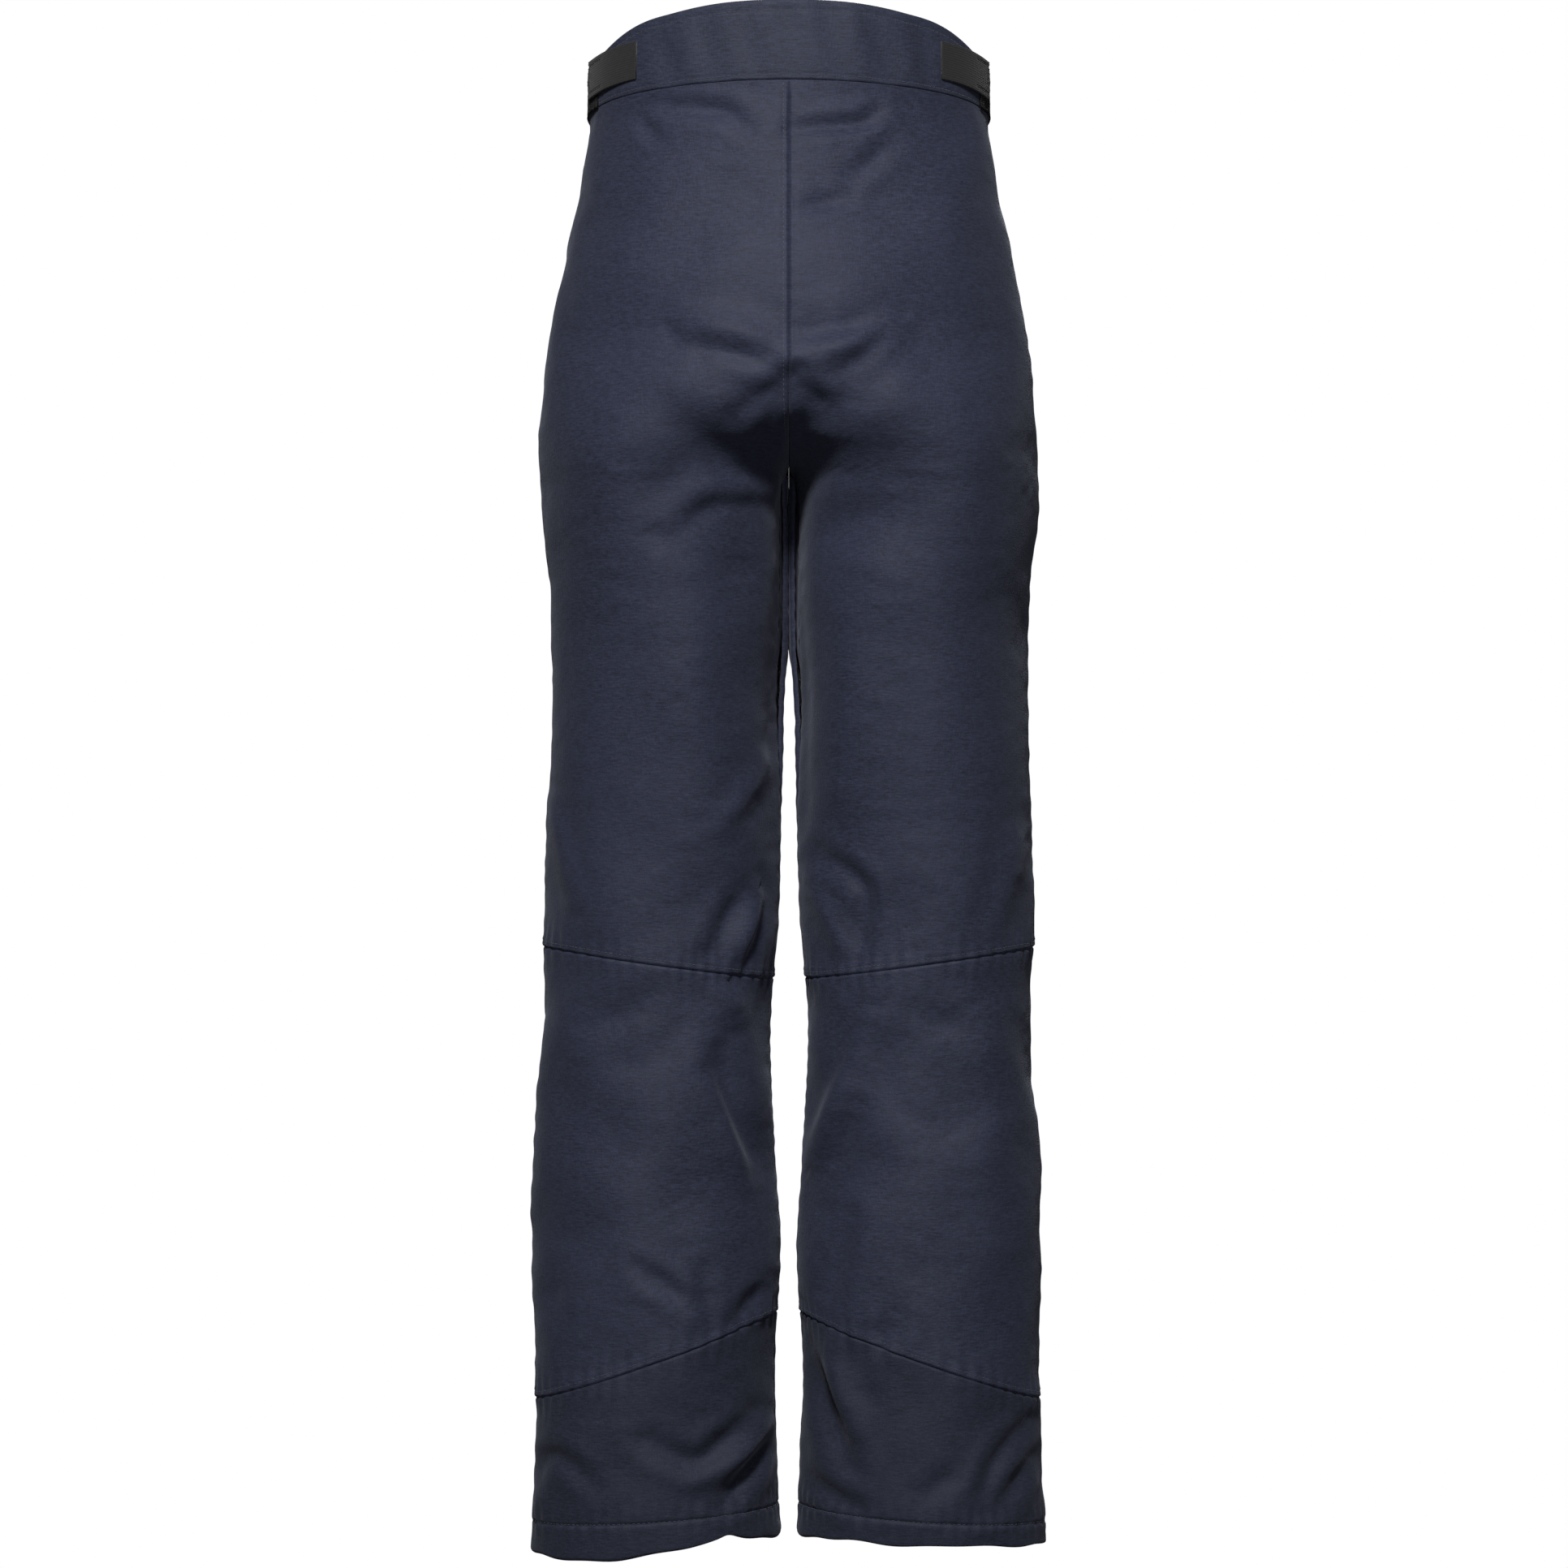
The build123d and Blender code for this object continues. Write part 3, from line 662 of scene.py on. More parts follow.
def ramp(tree, value, low, high, low_colour, high_colour):
    """A colour ramp between two values."""
    made = node(tree, "ShaderNodeValToRGB")
    made.color_ramp.elements[0].position = low
    made.color_ramp.elements[1].position = high
    made.color_ramp.elements[0].color = (*low_colour, 1)
    made.color_ramp.elements[1].color = (*high_colour, 1)
    tree.links.new(value, made.inputs["Fac"])
    return made.outputs["Color"]


def mix(tree, factor, a, b):
    """Two colours mixed by a value."""
    made = node(tree, "ShaderNodeMix", data_type="RGBA")
    tree.links.new(factor, made.inputs[0])
    tree.links.new(a, made.inputs[6])
    made.inputs[7].default_value = (*b, 1)
    return made.outputs[2]


def tinted(tree, shade, value, low, high, amount, colour):
    """A shade that turns by some amount towards a colour where a value is high."""
    factor = ramp(tree, value, low, high, (0, 0, 0), (amount,) * 3)
    return mix(tree, factor, shade, colour)


def brighter(colour, amount):
    return np.minimum(colour * amount, 1)


def object_place(tree):
    return node(tree, "ShaderNodeTexCoord").outputs["Object"]


def vary_roughness(tree, principled, value, low, high):
    """Roughness that runs from low to high with a value."""
    made = node(tree, "ShaderNodeMapRange", **{"To Min": low, "To Max": high})
    tree.links.new(value, made.inputs["Value"])
    tree.links.new(made.outputs["Result"], principled.inputs["Roughness"])


def added(tree, a, b):
    """The sum of two values."""
    made = node(tree, "ShaderNodeMath", operation="ADD")
    tree.links.new(a, made.inputs[0])
    tree.links.new(b, made.inputs[1])
    return made.outputs[0]


def shader(name, **constants):
    """A new material and its Principled shader, with constants set on the shader's own sockets."""
    material = bpy.data.materials.new(name)
    material.use_nodes = True
    tree = material.node_tree
    principled = tree.nodes["Principled BSDF"]
    for key, value in constants.items():
        principled.inputs[key.replace("_", " ")].default_value = value
    return material, tree, principled


def bump(tree, principled, height, strength, distance):
    """Bump from a height value."""
    made = node(tree, "ShaderNodeBump", Strength=strength, Distance=distance)
    tree.links.new(height, made.inputs["Height"])
    tree.links.new(made.outputs["Normal"], principled.inputs["Normal"])


def woven(name, colour, streaks=0.26, specks=0.35, rough=0.62, sheen=0.14, bump_size=0.0005, slub=420):
    """Matte woven cloth: uneven horizontal threads, light specks, faded high spots and a soft sheen."""
    material, tree, principled = shader(
        name, Sheen_Weight=sheen, Sheen_Roughness=0.45, Specular_IOR_Level=0.28)
    principled.inputs["Sheen Tint"].default_value = (0.78, 0.82, 1.0, 1)
    where = object_place(tree)
    colour = np.array(colour)
    thread = mapped_noise(tree, where, (0.22, 0.22, 1), slub * 2, 4, 0.7)
    cross = mapped_noise(tree, where, (1, 1, 0.35), slub * 1.6, 2, 0.6)
    patches = mapped_noise(tree, where, (1, 1, 0.7), 9, 3)
    speck = mapped_noise(tree, where, (0.8, 0.8, 1), slub * 2.6, 1, 0.4)
    light = brighter(colour, 1 + streaks * 1.9)
    shade = ramp(tree, thread, 0.34, 0.68, colour * (1 - streaks * 1.6), light)
    shade = tinted(tree, shade, cross, 0.35, 0.7, 0.4, colour * 0.8)
    shade = tinted(tree, shade, patches, 0.35, 0.7, 0.3, colour * 1.3)
    warm = np.minimum(colour * 1.6 + np.array((0.02, 0.012, 0.014)), 1)
    shade = tinted(tree, shade, speck, 0.6, 0.72, specks, warm)
    wear = node(tree, "ShaderNodeNewGeometry").outputs["Pointiness"]
    shade = tinted(tree, shade, wear, 0.52, 0.62, 0.25, colour * 1.7)
    tree.links.new(shade, principled.inputs["Base Color"])
    vary_roughness(tree, principled, thread, rough - 0.08, rough + 0.12)
    bump(tree, principled, added(tree, thread, cross), 0.55, bump_size)
    return material


def ribbed(name, colour, pitch, axis_scale, rough=0.6, strength=0.7):
    """Woven elastic or tape: fine ribs with furrows darkened by painted shade, pitch in millimetres."""
    material, tree, principled = shader(
        name, Sheen_Weight=0.25, Sheen_Roughness=0.5, Specular_IOR_Level=0.3)
    where = object_place(tree)
    mapping = node(tree, "ShaderNodeMapping", Scale=axis_scale)
    tree.links.new(where, mapping.inputs["Vector"])
    wave = node(tree, "ShaderNodeTexWave", wave_type="BANDS", bands_direction="DIAGONAL",
                **{"Scale": WAVES_PER_MM / pitch, "Distortion": 0.6, "Detail": 1.5, "Detail Scale": 3})
    tree.links.new(mapping.outputs["Vector"], wave.inputs["Vector"])
    colour = np.array(colour)
    # The furrows between the ribs are darkened in colour: painted shade that follows the bump's low
    # bands.
    shade = ramp(tree, wave.outputs["Fac"], 0.1, 0.9, colour * 0.45, colour * 1.35)
    fluff = mapped_noise(tree, where, (1, 1, 1), 900, 3)
    shade = tinted(tree, shade, fluff, 0.45, 0.75, 0.5, colour * 1.9)
    tree.links.new(shade, principled.inputs["Base Color"])
    vary_roughness(tree, principled, fluff, rough, min(rough + 0.25, 1))
    bump(tree, principled, wave.outputs["Fac"], strength, 0.0004)
    return material


def napped(name, colour, sheen=0.4):
    """The fuzzy side of hook-and-loop tape, brushed tricot or wadding."""
    material, tree, principled = shader(
        name, Sheen_Weight=sheen, Sheen_Roughness=0.35, Specular_IOR_Level=0.1)
    where = object_place(tree)
    fuzz = mapped_noise(tree, where, (1, 1, 1), 1500, 4, 0.75)
    clump = mapped_noise(tree, where, (1, 1, 1), 260, 3, 0.6)
    colour = np.array(colour)
    shade = ramp(tree, fuzz, 0.35, 0.72, colour * 0.5, brighter(colour, 2.0))
    shade = tinted(tree, shade, clump, 0.4, 0.7, 0.5, colour * 0.8)
    tree.links.new(shade, principled.inputs["Base Color"])
    vary_roughness(tree, principled, clump, 0.82, 1.0)
    bump(tree, principled, added(tree, fuzz, clump), 1.0, 0.0012)
    return material


def metal(name, colour, rough=0.32, metallic=1.0):
    """Cast or stamped metal with fine scratches and rubbed edges."""
    material, tree, principled = shader(name, Metallic=metallic)
    where = object_place(tree)
    grain = mapped_noise(tree, where, (1, 1, 0.2), 900, 4, 0.7)
    patch = mapped_noise(tree, where, (1, 1, 1), 160, 3)
    colour = np.array(colour)
    shade = ramp(tree, patch, 0.3, 0.7, colour * 0.75, brighter(colour, 1.2))
    wear = node(tree, "ShaderNodeNewGeometry").outputs["Pointiness"]
    shade = tinted(tree, shade, wear, 0.53, 0.6, 0.6, brighter(colour, 1.8))
    tree.links.new(shade, principled.inputs["Base Color"])
    vary_roughness(tree, principled, grain, rough - 0.1, rough + 0.2)
    bump(tree, principled, grain, 0.25, 0.0001)
    return material


def make_materials():
    """Every material of the garment by name."""
    navy = (0.036, 0.041, 0.074)
    return {
        "shell": woven("shell_weave", navy),
        # The ankle panels and hems get a darker copy of the shell's navy: painted shade for the dimmer
        # light low on the legs.
        "ankle": woven("ankle_weave", (0.028, 0.032, 0.056), rough=0.66),
        "band": woven("band_weave", (0.036, 0.041, 0.071), sheen=0.12),
        "lining": woven("lining_taffeta", (0.03, 0.033, 0.05), 0.1, 0.1, 0.45, 0.2, 0.0002, 700),
        "cuff": woven("cuff_taffeta", (0.02, 0.021, 0.026), 0.1, 0.1, 0.5, 0.2, 0.0002, 700),
        "facing": napped("brushed_facing", (0.022, 0.023, 0.03)),
        "wadding": napped("charcoal_wadding", (0.03, 0.031, 0.036)),
        "strap": ribbed("ribbed_elastic", (0.024, 0.022, 0.022), 0.52, (0, 0, 1), 0.6, 0.4),
        "grip": ribbed("grip_elastic", (0.014, 0.014, 0.015), 1.8, (0, 0, 1)),
        "tape": ribbed("zip_tape_weave", (0.020, 0.022, 0.032), 0.9, (0, 0, 1), 0.65, 0.4),
        "ribbon": ribbed("ribbon_weave", (0.014, 0.014, 0.018), 0.8, (0, 1, 0), 0.55, 0.4),
        "label": ribbed("blank_satin", (0.62, 0.61, 0.58), 0.7, (1, 0, 0), 0.4, 0.2),
        "loop": napped("loop_nap", (0.005, 0.005, 0.005), 0.15),
        "hook": napped("hook_tape", (0.010, 0.010, 0.011)),
        "thread": ribbed("stitch_thread", (0.075, 0.082, 0.118), 0.5, (1, 1, 1), 0.5, 0.3),
        "dark_thread": ribbed("dark_thread", (0.03, 0.03, 0.034), 0.5, (1, 1, 1), 0.5, 0.3),
        "coil": metal("coil_plastic", (0.022, 0.023, 0.03), 0.38, 0.0),
        "slider": metal("dark_slider", (0.05, 0.05, 0.055), 0.34),
        "pull": metal("pull_rubber", (0.02, 0.02, 0.023), 0.6, 0.0),
        "steel": metal("stud_steel", (0.42, 0.42, 0.43), 0.3),
        "cap": metal("cap_enamel", (0.028, 0.030, 0.045), 0.36, 0.35),
    }


# The garment.


def node_name(base_name, side):
    """A piece's name on one side of the garment."""
    return f"{base_name}_{'right' if side > 0 else 'left'}"


def zip_frames():
    """Origin, directions and length of each zip in the garment."""
    frames = []
    (z0, t0), (z1, t1) = POCKET_ENDS
    z, t = np.array((z0, z1), float), np.array((t0, t1))
    for side in SIDES:
        high, low = base(side, z, t)
        across = (base(side, z, t + 0.02) - base(side, z, t - 0.02)).sum(0)
        frames.append(zip_frame(high, low, across * side, POCKET_ZIP))
    ends = []
    for height in FLY_HEIGHTS:
        p = base(1, np.array(height), seam_angle(np.array(height)))
        ends.append(np.array([0, p[1], height]))
    frames.append(zip_frame(*ends, np.array([-1.0, 0, 0]), FLY_ZIP))
    return frames


def zip_frame(high, low, across, length):
    """A zip's middle, its directions along, across and out of the cloth, and its length."""
    x_dir = (low - high) / np.linalg.norm(low - high)
    z_dir = np.cross(x_dir, across)
    z_dir /= np.linalg.norm(z_dir)
    return (high + low) / 2, x_dir, np.cross(z_dir, x_dir), z_dir, length


def back_start(z):
    """The angle of the middle seam or inseam, seen from the back panels."""
    return -seam_angle(z)


def front_end(z):
    """The angle of the middle seam or inseam, seen from the front panels."""
    return seam_angle(z)


def side_seam(z):
    """The angle of the side seam."""
    return 0 * z


def panel(base_name, side, back, top, bottom, height, material):
    """One cloth panel between two cross seams and between the middle and the side seam."""
    u = spaced(250, PANEL_STEP)[None, :]
    v = spaced(height, PANEL_STEP)[:, None]
    start, end = (back_start, side_seam) if back else (side_seam, front_end)
    z, t = place(side, v, u, top, bottom, start, end)
    points = cloth(side, z, t)
    overlap = 0.02 - 3 * (points[..., 2] < -TOUCHING[0])
    points[..., 0] = side * np.maximum(side * points[..., 0], overlap)
    points = turned_in(points, -normals(side, z, t))
    rows, columns = points.shape[:2]
    keep = ~in_window((points[:-1, :-1] + points[1:, 1:]) / 2)
    faces = grid_faces(rows, columns, flip=side > 0, keep=keep)
    piece = mesh_object(node_name(f"{base_name}_cloth", side), points, faces, material, "trousers")
    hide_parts(node_name(base_name, side))
    return piece


def in_window(p):
    """Whether each point lies in a zip's window."""
    inside = np.zeros(p.shape[:-1], bool)
    for origin, x_dir, y_dir, z_dir, length in ZIPS:
        q = p - origin
        here = (np.abs(q @ x_dir) < length / 2 + 1) & (np.abs(q @ y_dir) < WINDOW_HALF)
        inside |= here & (np.abs(q @ z_dir) < 12)
    return inside


def leg_panels(m):
    """All panels of both halves."""
    rows = (
        (("back_thigh", "front_thigh"), band_seam, across_leg(KNEE), 560, "shell"),
        (("back_calf", "front_shin"), across_leg(KNEE), across_leg(ANKLE), 280, "shell"),
        # The ankle panels' darker navy is painted shade for the dimmer light low down.
        (("back_ankle", "front_ankle"), across_leg(ANKLE), across_leg(HEM), 95, "ankle"),
    )
    for side in SIDES:
        for k, back in enumerate((True, False)):
            for names, top, bottom, height, material in rows:
                panel(names[k], side, back, top, bottom, height, m[material])


def hem_wave(side, t, x):
    """How far the hem's edge hangs above its straight line; the back follows each leg's own droop."""
    path = rounded_path(HEM_DROOP[side])
    back = np.interp(np.abs(x), path[:, 0], path[:, 1])
    front = 2 + 1.8 * np.sin(2 * t + 0.8 * side) + 1.3 * np.sin(5 * t + 1.1 * side)
    weight = smooth(-np.sin(t), -0.3, 0.25)
    return front + (back - front) * weight + 0.5 * np.sin(11 * t)


def hems(m):
    """The turned-up hems: outer face, rolled edge and inner face."""
    outer = [(v, 0.0) for v in np.linspace(0, 0.9, 9)]
    roll = [(0.9 + 0.1 * np.sin(a), 3 - 3 * np.cos(a)) for a in np.linspace(0.3, PI - 0.3, 7)]
    inner = [(v, 6.2) for v in np.linspace(0.9, 0, 7)]
    t = np.linspace(-PI, PI, 260, endpoint=False)
    for side in SIDES:
        rings = []
        for v, depth in [(0, 4.5), *outer, *roll, *inner]:
            z, _ = place(side, np.full_like(t, v), np.zeros_like(t), across_leg(HEM),
                         across_leg(EDGE, 1.5), lambda z: t, lambda z: t)
            z = z + v**2 * hem_wave(side, t, base(side, z, t)[..., 0])
            rings.append(cloth(side, z, t, depth))
        faces = grid_faces(len(rings), len(t), True, flip=side > 0)
        piece = mesh_object(node_name("hem_fold", side), rings, faces, m["ankle"], "trousers")
        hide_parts(node_name("hem", side))


def band_point(t, v, depth):
    """A point of the waistband: t round the whole waist from the right side, v up from its seam."""
    z = np.zeros(np.broadcast(t, v).shape)
    for _ in range(5):
        p = base(1, z, t, depth)
        low, high = band_height(BAND_SEAM, p[..., 1]), band_top(p[..., 1])
        z = low + (high - low) * v
    p = base(1, z, t, depth)
    return p + normals(1, z, t) * band_relief(p, t, v)[..., None]


def band_relief(p, t, v):
    """Softness, puckers and stitched lines of the waistband's face, in millimetres."""
    soft = 0.8 * noise(p, 34, 11) + 0.4 * noise(p * np.array([1, 1, 0.5]), 13, 12)
    slant = t * 120 + 9 * v
    strength = 0.35 + 0.65 * smooth(noise(p, 55, 14), -0.2, 0.6)
    puckers = 0.55 * np.sin(slant / 4.6 + 1.5 * np.sin(slant / 31)) * strength
    height = (soft + 2.4 * puckers) * np.sin(PI * np.clip(v, 0, 1)) ** 0.5
    height = height * (1 - smooth(np.abs(np.cos(t)), 0.62, 0.76))
    height = height * (1 - 0.8 * smooth(np.sin(t), 0, 0.4))
    height = height - 0.45 * np.exp(-((v - 0.86) / 0.018) ** 2)
    return height - 0.4 * np.exp(-((v - 0.06) / 0.018) ** 2)


def band_section(outer, inner, bulge):
    """Points (v, depth) round the waistband's folded section."""
    middle, half = (outer + inner) / 2, (inner - outer) / 2
    face = [(v, outer - bulge * np.sin(PI * v)) for v in np.linspace(0.03, 0.965, 30)]
    top = [(0.965 + 0.035 * np.sin(a), middle - half * np.cos(a)) for a in np.linspace(0.4, PI - 0.4, 6)]
    rear = [(v, inner) for v in np.linspace(0.965, 0.03, 8)]
    bottom = [(0.03 - 0.03 * np.sin(a), middle + half * np.cos(a)) for a in np.linspace(0.4, PI - 0.4, 5)]
    return [*face, *top, *rear, *bottom]


def band_length(name, start, end, depths, material, body, replaced, bulge):
    """A length of folded waistband between two angles."""
    t = np.linspace(start, end, max(int(abs(end - start) * 125 / 1.8), 4))
    v, depth = (np.array(values) for values in zip(*band_section(*depths, bulge)))
    t2, v2 = np.meshgrid(t, v, indexing="ij")
    points = band_point(t2, v2, np.broadcast_to(depth, t2.shape))
    piece = swept(name, points, material, body)
    if replaced:
        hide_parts(replaced)
    return piece


def front_angle(x):
    """The angle at which the front of the waistband has this x."""
    return PI / 2 - np.arcsin(x / FRONT_RADIUS)


def waistband(m):
    """The waistband, its facing and the closure tab."""
    folded = (-0.6, 2.4)
    lengths = (
        ("waistband_back", -PI + 0.002, -0.002, folded, "trousers", "back_waistband", 0.5),
        ("waistband_front_right", 0.002, front_angle(-3.6), folded, "trousers",
         "front_waistband_right", 0.1),
        ("waistband_front_left", front_angle(-3.8), PI - 0.002, folded, "trousers",
         "front_waistband_left", 0.5),
        ("tab_base", front_angle(-4.15), front_angle(-17), (-3.1, -0.7), "trousers", None, 0.0),
        ("closure_tab_cloth", front_angle(43.8), front_angle(-3.9), (-3.1, -1.0), "closure_tab",
         "closure_tab", 0.0),
    )
    for name, start, end, depths, body, replaced, bulge in lengths:
        piece = band_length(name, start, end, depths, m["band"], body, replaced, bulge)
    facing = band_length("facing_cloth", PI / 2 + 0.035, 2.5 * PI - 0.035, (2.7, 3.6), m["facing"],
                         "trousers", "waistband_facing", 0.0)


def strap_line(t):
    """Middle height of the waist strap at an angle."""
    y = profile(np.array(-10.0), 3) * np.sin(t)
    return -6 + (y + 67) * -0.124 - 2.5 * smooth(t, STRAP_ROOT, STRAP_END)


def strap_depth(t):
    """Depth of the strap's inner face: flush at its slot, lifted at its end."""
    return -0.9 - 1.2 * smooth(t, STRAP_ROOT, STRAP_LIFT)


def strap_point(side, t, w, rise):
    """A point of the strap: w across its width from -1 to 1, rise above its inner face."""
    z = strap_line(t) + w * STRAP_WIDTH / 2
    curl = 0.2 * smooth(t, STRAP_END - 0.08, STRAP_END)
    return base(side, z, t, strap_depth(t) - rise - curl)


def straps(m):
    """Ribbed elastic waist straps with their hook and loop patches."""
    hook_ends = (STRAP_LIFT + 0.03, STRAP_END - 0.03)
    for side in SIDES:
        body = node_name("waist_strap", side)
        strap_elastic(side, body, m["strap"])
        hook_and_loop("hook", side, hook_ends, strap_line, 11.2, (-2.05, -1.8), m["hook"], body)
        hook_and_loop("loop", side, LOOP_ENDS, loop_line, 15, (-1.75, -0.7), m["loop"], "trousers")
        stitch_box(side, body, m["dark_thread"])


def strap_elastic(side, body, material):
    """One ribbed strap, pressed in where the rectangle is stitched at its end."""
    top = [(w, 1.55) for w in np.linspace(-0.97, 0.97, 49)]
    under = [(w, 0.05) for w in np.linspace(0.9, -0.9, 12)]
    edge = [(1, 1.1), (1, 0.4), (0.97, 0.05)]
    far_edge = [(-w, rise) for w, rise in edge[::-1]]
    w, rise = (np.array(values) for values in zip(*top, *edge, *under, *far_edge))
    ribs = np.where(rise > 1.5, 0.16 * np.cos(w * STRAP_WIDTH / 2 * 2 * PI / RIB_PITCH), 0)
    t2, w2 = np.meshgrid(np.linspace(STRAP_ROOT - 0.012, STRAP_END, 44), w, indexing="ij")
    lift = np.broadcast_to(rise + ribs, t2.shape).copy()
    to_end = (STRAP_END - t2) * STRAP_RADIUS
    box_end = np.abs(to_end - 4) < 0.8
    box_side = (np.abs(np.abs(w2) * STRAP_WIDTH / 2 - 9.2) < 0.7) & (to_end < 28)
    lift -= 0.35 * ((box_end | box_side) & (lift > 1.2))
    piece = swept(node_name("strap_elastic", side), strap_point(side, t2, w2, lift), material, body)
    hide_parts(node_name("waist_strap", side))


def loop_line(t):
    """Middle height of the loop patch at an angle."""
    y = profile(np.array(-20.0), 3) * np.sin(t)
    return np.where(y < 0, -22.5 + y * -8 / 67, -22.5 + y * -13 / 70)


def hook_and_loop(kind, side, ends, line, half_width, depths, material, body):
    """A thin napped patch on the waistband or under its strap."""
    outer, inner = depths
    start, end = ends
    t = np.linspace(start, end, max(int((end - start) * 134 / 1.3), 6))
    ring = [(w, outer) for w in np.linspace(-1, 1, 22)] + [(w, inner) for w in np.linspace(1, -1, 8)]
    w, depth = (np.array(values) for values in zip(*ring))
    t2, w2 = np.meshgrid(t, w, indexing="ij")
    d2 = np.broadcast_to(depth, t2.shape)
    z = line(t2) + w2 * half_width
    p = base(side, z, t2, d2)
    p = p + normals(side, z, t2) * (0.22 * noise(p, 1.7, 2) * (d2 == outer))[..., None]
    piece = swept(node_name(f"{kind}_side", side), p, material, body)
    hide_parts(node_name(f"{kind}_patch", side))


def stitch_box(side, body, material):
    """The stitched rectangle at the strap's end."""
    inner, outer = STRAP_END - 27 / STRAP_RADIUS, STRAP_END - 4 / STRAP_RADIUS
    lines = [(np.linspace(inner, outer, 20), w) for w in (-0.73, 0.73)]
    lines.append((np.full(20, outer), np.linspace(-0.73, 0.73, 20)))
    rows = [(strap_point(side, t, w, 1.5), normals(side, strap_line(t), t)) for t, w in lines]
    stitched(node_name("strap_box_stitch", side), rows, body, material, length=2.2, gap=0.7, radius=0.22)


def leg_stitches(side, material):
    """Stitches along one leg's cross seams and hem and down the seat's middle seam."""
    rows = []
    t = np.linspace(-PI + 0.01, PI - 0.01, 420)
    for line, above in ((KNEE, 4.0), (ANKLE, 4.0), (EDGE, 21.5)):
        p = base(side, np.full_like(t, line[0][1]), t)
        for _ in range(4):
            z = line_height(line, p[..., 0]) + above
            p = base(side, z, t)
        rows.append((cloth(side, z, t, -0.12), normals(side, z, t)))
    if side < 0:
        z = np.linspace(-24, -262, 190)
        edge = back_start(z)
        step = np.linalg.norm(base(side, z, edge + 0.01) - base(side, z, edge), axis=-1)
        t = edge + 3.6 / step * 0.01
        rows.append((cloth(side, z, t, -0.12), normals(side, z, t)))
    stitched(node_name("seam_stitches", side), rows, "trousers", material)


def band_stitches(material):
    """Stitches along the top and the bottom of the waistband."""
    rows = []
    for start, end in ((-PI + 0.01, -0.01), (0.01, front_angle(-3)), (front_angle(-18), PI - 0.01)):
        t = np.linspace(start, end, 400)
        for v in (0.86, 0.06):
            depth = -0.75 - 0.5 * np.sin(PI * v)
            p = band_point(t, np.full_like(t, v), np.full_like(t, depth))
            rows.append((p, normals(1, p[:, 2], t)))
    stitched("waistband_stitches", rows, "trousers", material)


def tab_stitches(material):
    """Stitches along three edges of the closure tab."""
    end = front_angle(41)
    across = np.linspace(end, front_angle(-2), 50)
    lines = [(across, np.full_like(across, v)) for v in (0.86, 0.08)]
    lines.append((np.full(24, end), np.linspace(0.08, 0.86, 24)))
    rows = [(band_point(t, v, np.full_like(t, -3.2)), normals(1, 0 * t - 40, t)) for t, v in lines]
    stitched("tab_stitches", rows, "closure_tab", material)


def top_stitching(m):
    """Rows of stitches along the seams, hems and waistband."""
    for side in SIDES:
        leg_stitches(side, m["thread"])
    band_stitches(m["thread"])
    tab_stitches(m["thread"])


def zips(m):
    """Welts, end bars, stitches and teeth of the three zips."""
    names = ("pocket_right", "pocket_left", "fly")
    coils = ("pocket_zip_coil_right", "pocket_zip_coil_left", "fly_zip_coil")
    for spot, name, coil in zip(ZIPS, names, coils):
        rows = [welt(spot, name, hand, m["shell"]) for hand in (1, -1)]
        for end in (1, -1):
            end_bar(spot, name, end, m["shell"])
        stitched(f"{name}_zip_stitches", rows, "trousers", m["thread"], length=2.4)
        piece = mesh_object(f"{name}_teeth", *coil_teeth(spot), m["coil"], "trousers")
        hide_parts(coil)


def zip_point(spot, x, y, z):
    """A point x along, y across and z out of a zip."""
    origin, x_dir, y_dir, z_dir, _ = spot
    x, y, z = np.broadcast_arrays(x, y, z)
    return origin + x[..., None] * x_dir + y[..., None] * y_dir + z[..., None] * z_dir


def welt(spot, name, hand, material):
    """The rolled edge on one side of a zip, and the line of its stitches."""
    _, _, _, z_dir, length = spot
    along = np.linspace(-length / 2 - 4, length / 2 + 3, 90)
    angle = np.linspace(0, 2 * PI, 18, endpoint=False)
    across = 7.3 + 3.0 * np.cos(angle)
    height = 0.35 + 0.75 * np.sin(angle)
    wave = 0.12 * np.sin(along / 3.1)[:, None]
    roll = zip_point(spot, along[:, None], hand * (across + wave * 2), height + wave)
    swept(f"{name}_welt_{'a' if hand > 0 else 'b'}", roll, material, "trousers")
    line = zip_point(spot, along, hand * 8.3, 1.12)
    return line, np.broadcast_to(z_dir, line.shape)


def end_bar(spot, name, end, material):
    """The rolled bar across one end of a zip."""
    across = np.linspace(-9.5, 9.5, 24)[:, None]
    angle = np.linspace(0, 2 * PI, 14, endpoint=False)
    x = end * (spot[-1] / 2 + 3.2) + 2.6 * np.cos(angle)
    bar = zip_point(spot, x, across, 0.05 + 0.85 * np.sin(angle))
    swept(f"{name}_end_{'low' if end > 0 else 'high'}", bar, material, "trousers")


def coil_teeth(spot):
    """The wound coil of a zip, as a row of rounded turns on each side."""
    length = spot[-1]
    angle = np.linspace(0, 2 * PI, 8, endpoint=False)
    y = np.linspace(0.7, 2.7, 4)[:, None]
    lift = np.array([-1.9, -1.8, -1.8, -2.2])[:, None]
    size = np.array([0.5, 0.52, 0.52, 0.4])[:, None]
    points, faces, start = [], [], 0
    for k in range(int((length - 8) / TOOTH_PITCH)):
        x = -length / 2 + 1 + k * TOOTH_PITCH
        for hand in (1, -1):
            ring = zip_point(spot, x + 0.3 * hand + size * np.cos(angle), hand * y,
                             lift + 2.3 * size * np.sin(angle))
            points.append(ring.reshape(-1, 3))
            faces += grid_faces(4, 8, True, start=start)
            faces += [list(range(start, start + 8))[::-1], list(range(start + 24, start + 32))]
            start += 32
    return np.vstack(points), faces


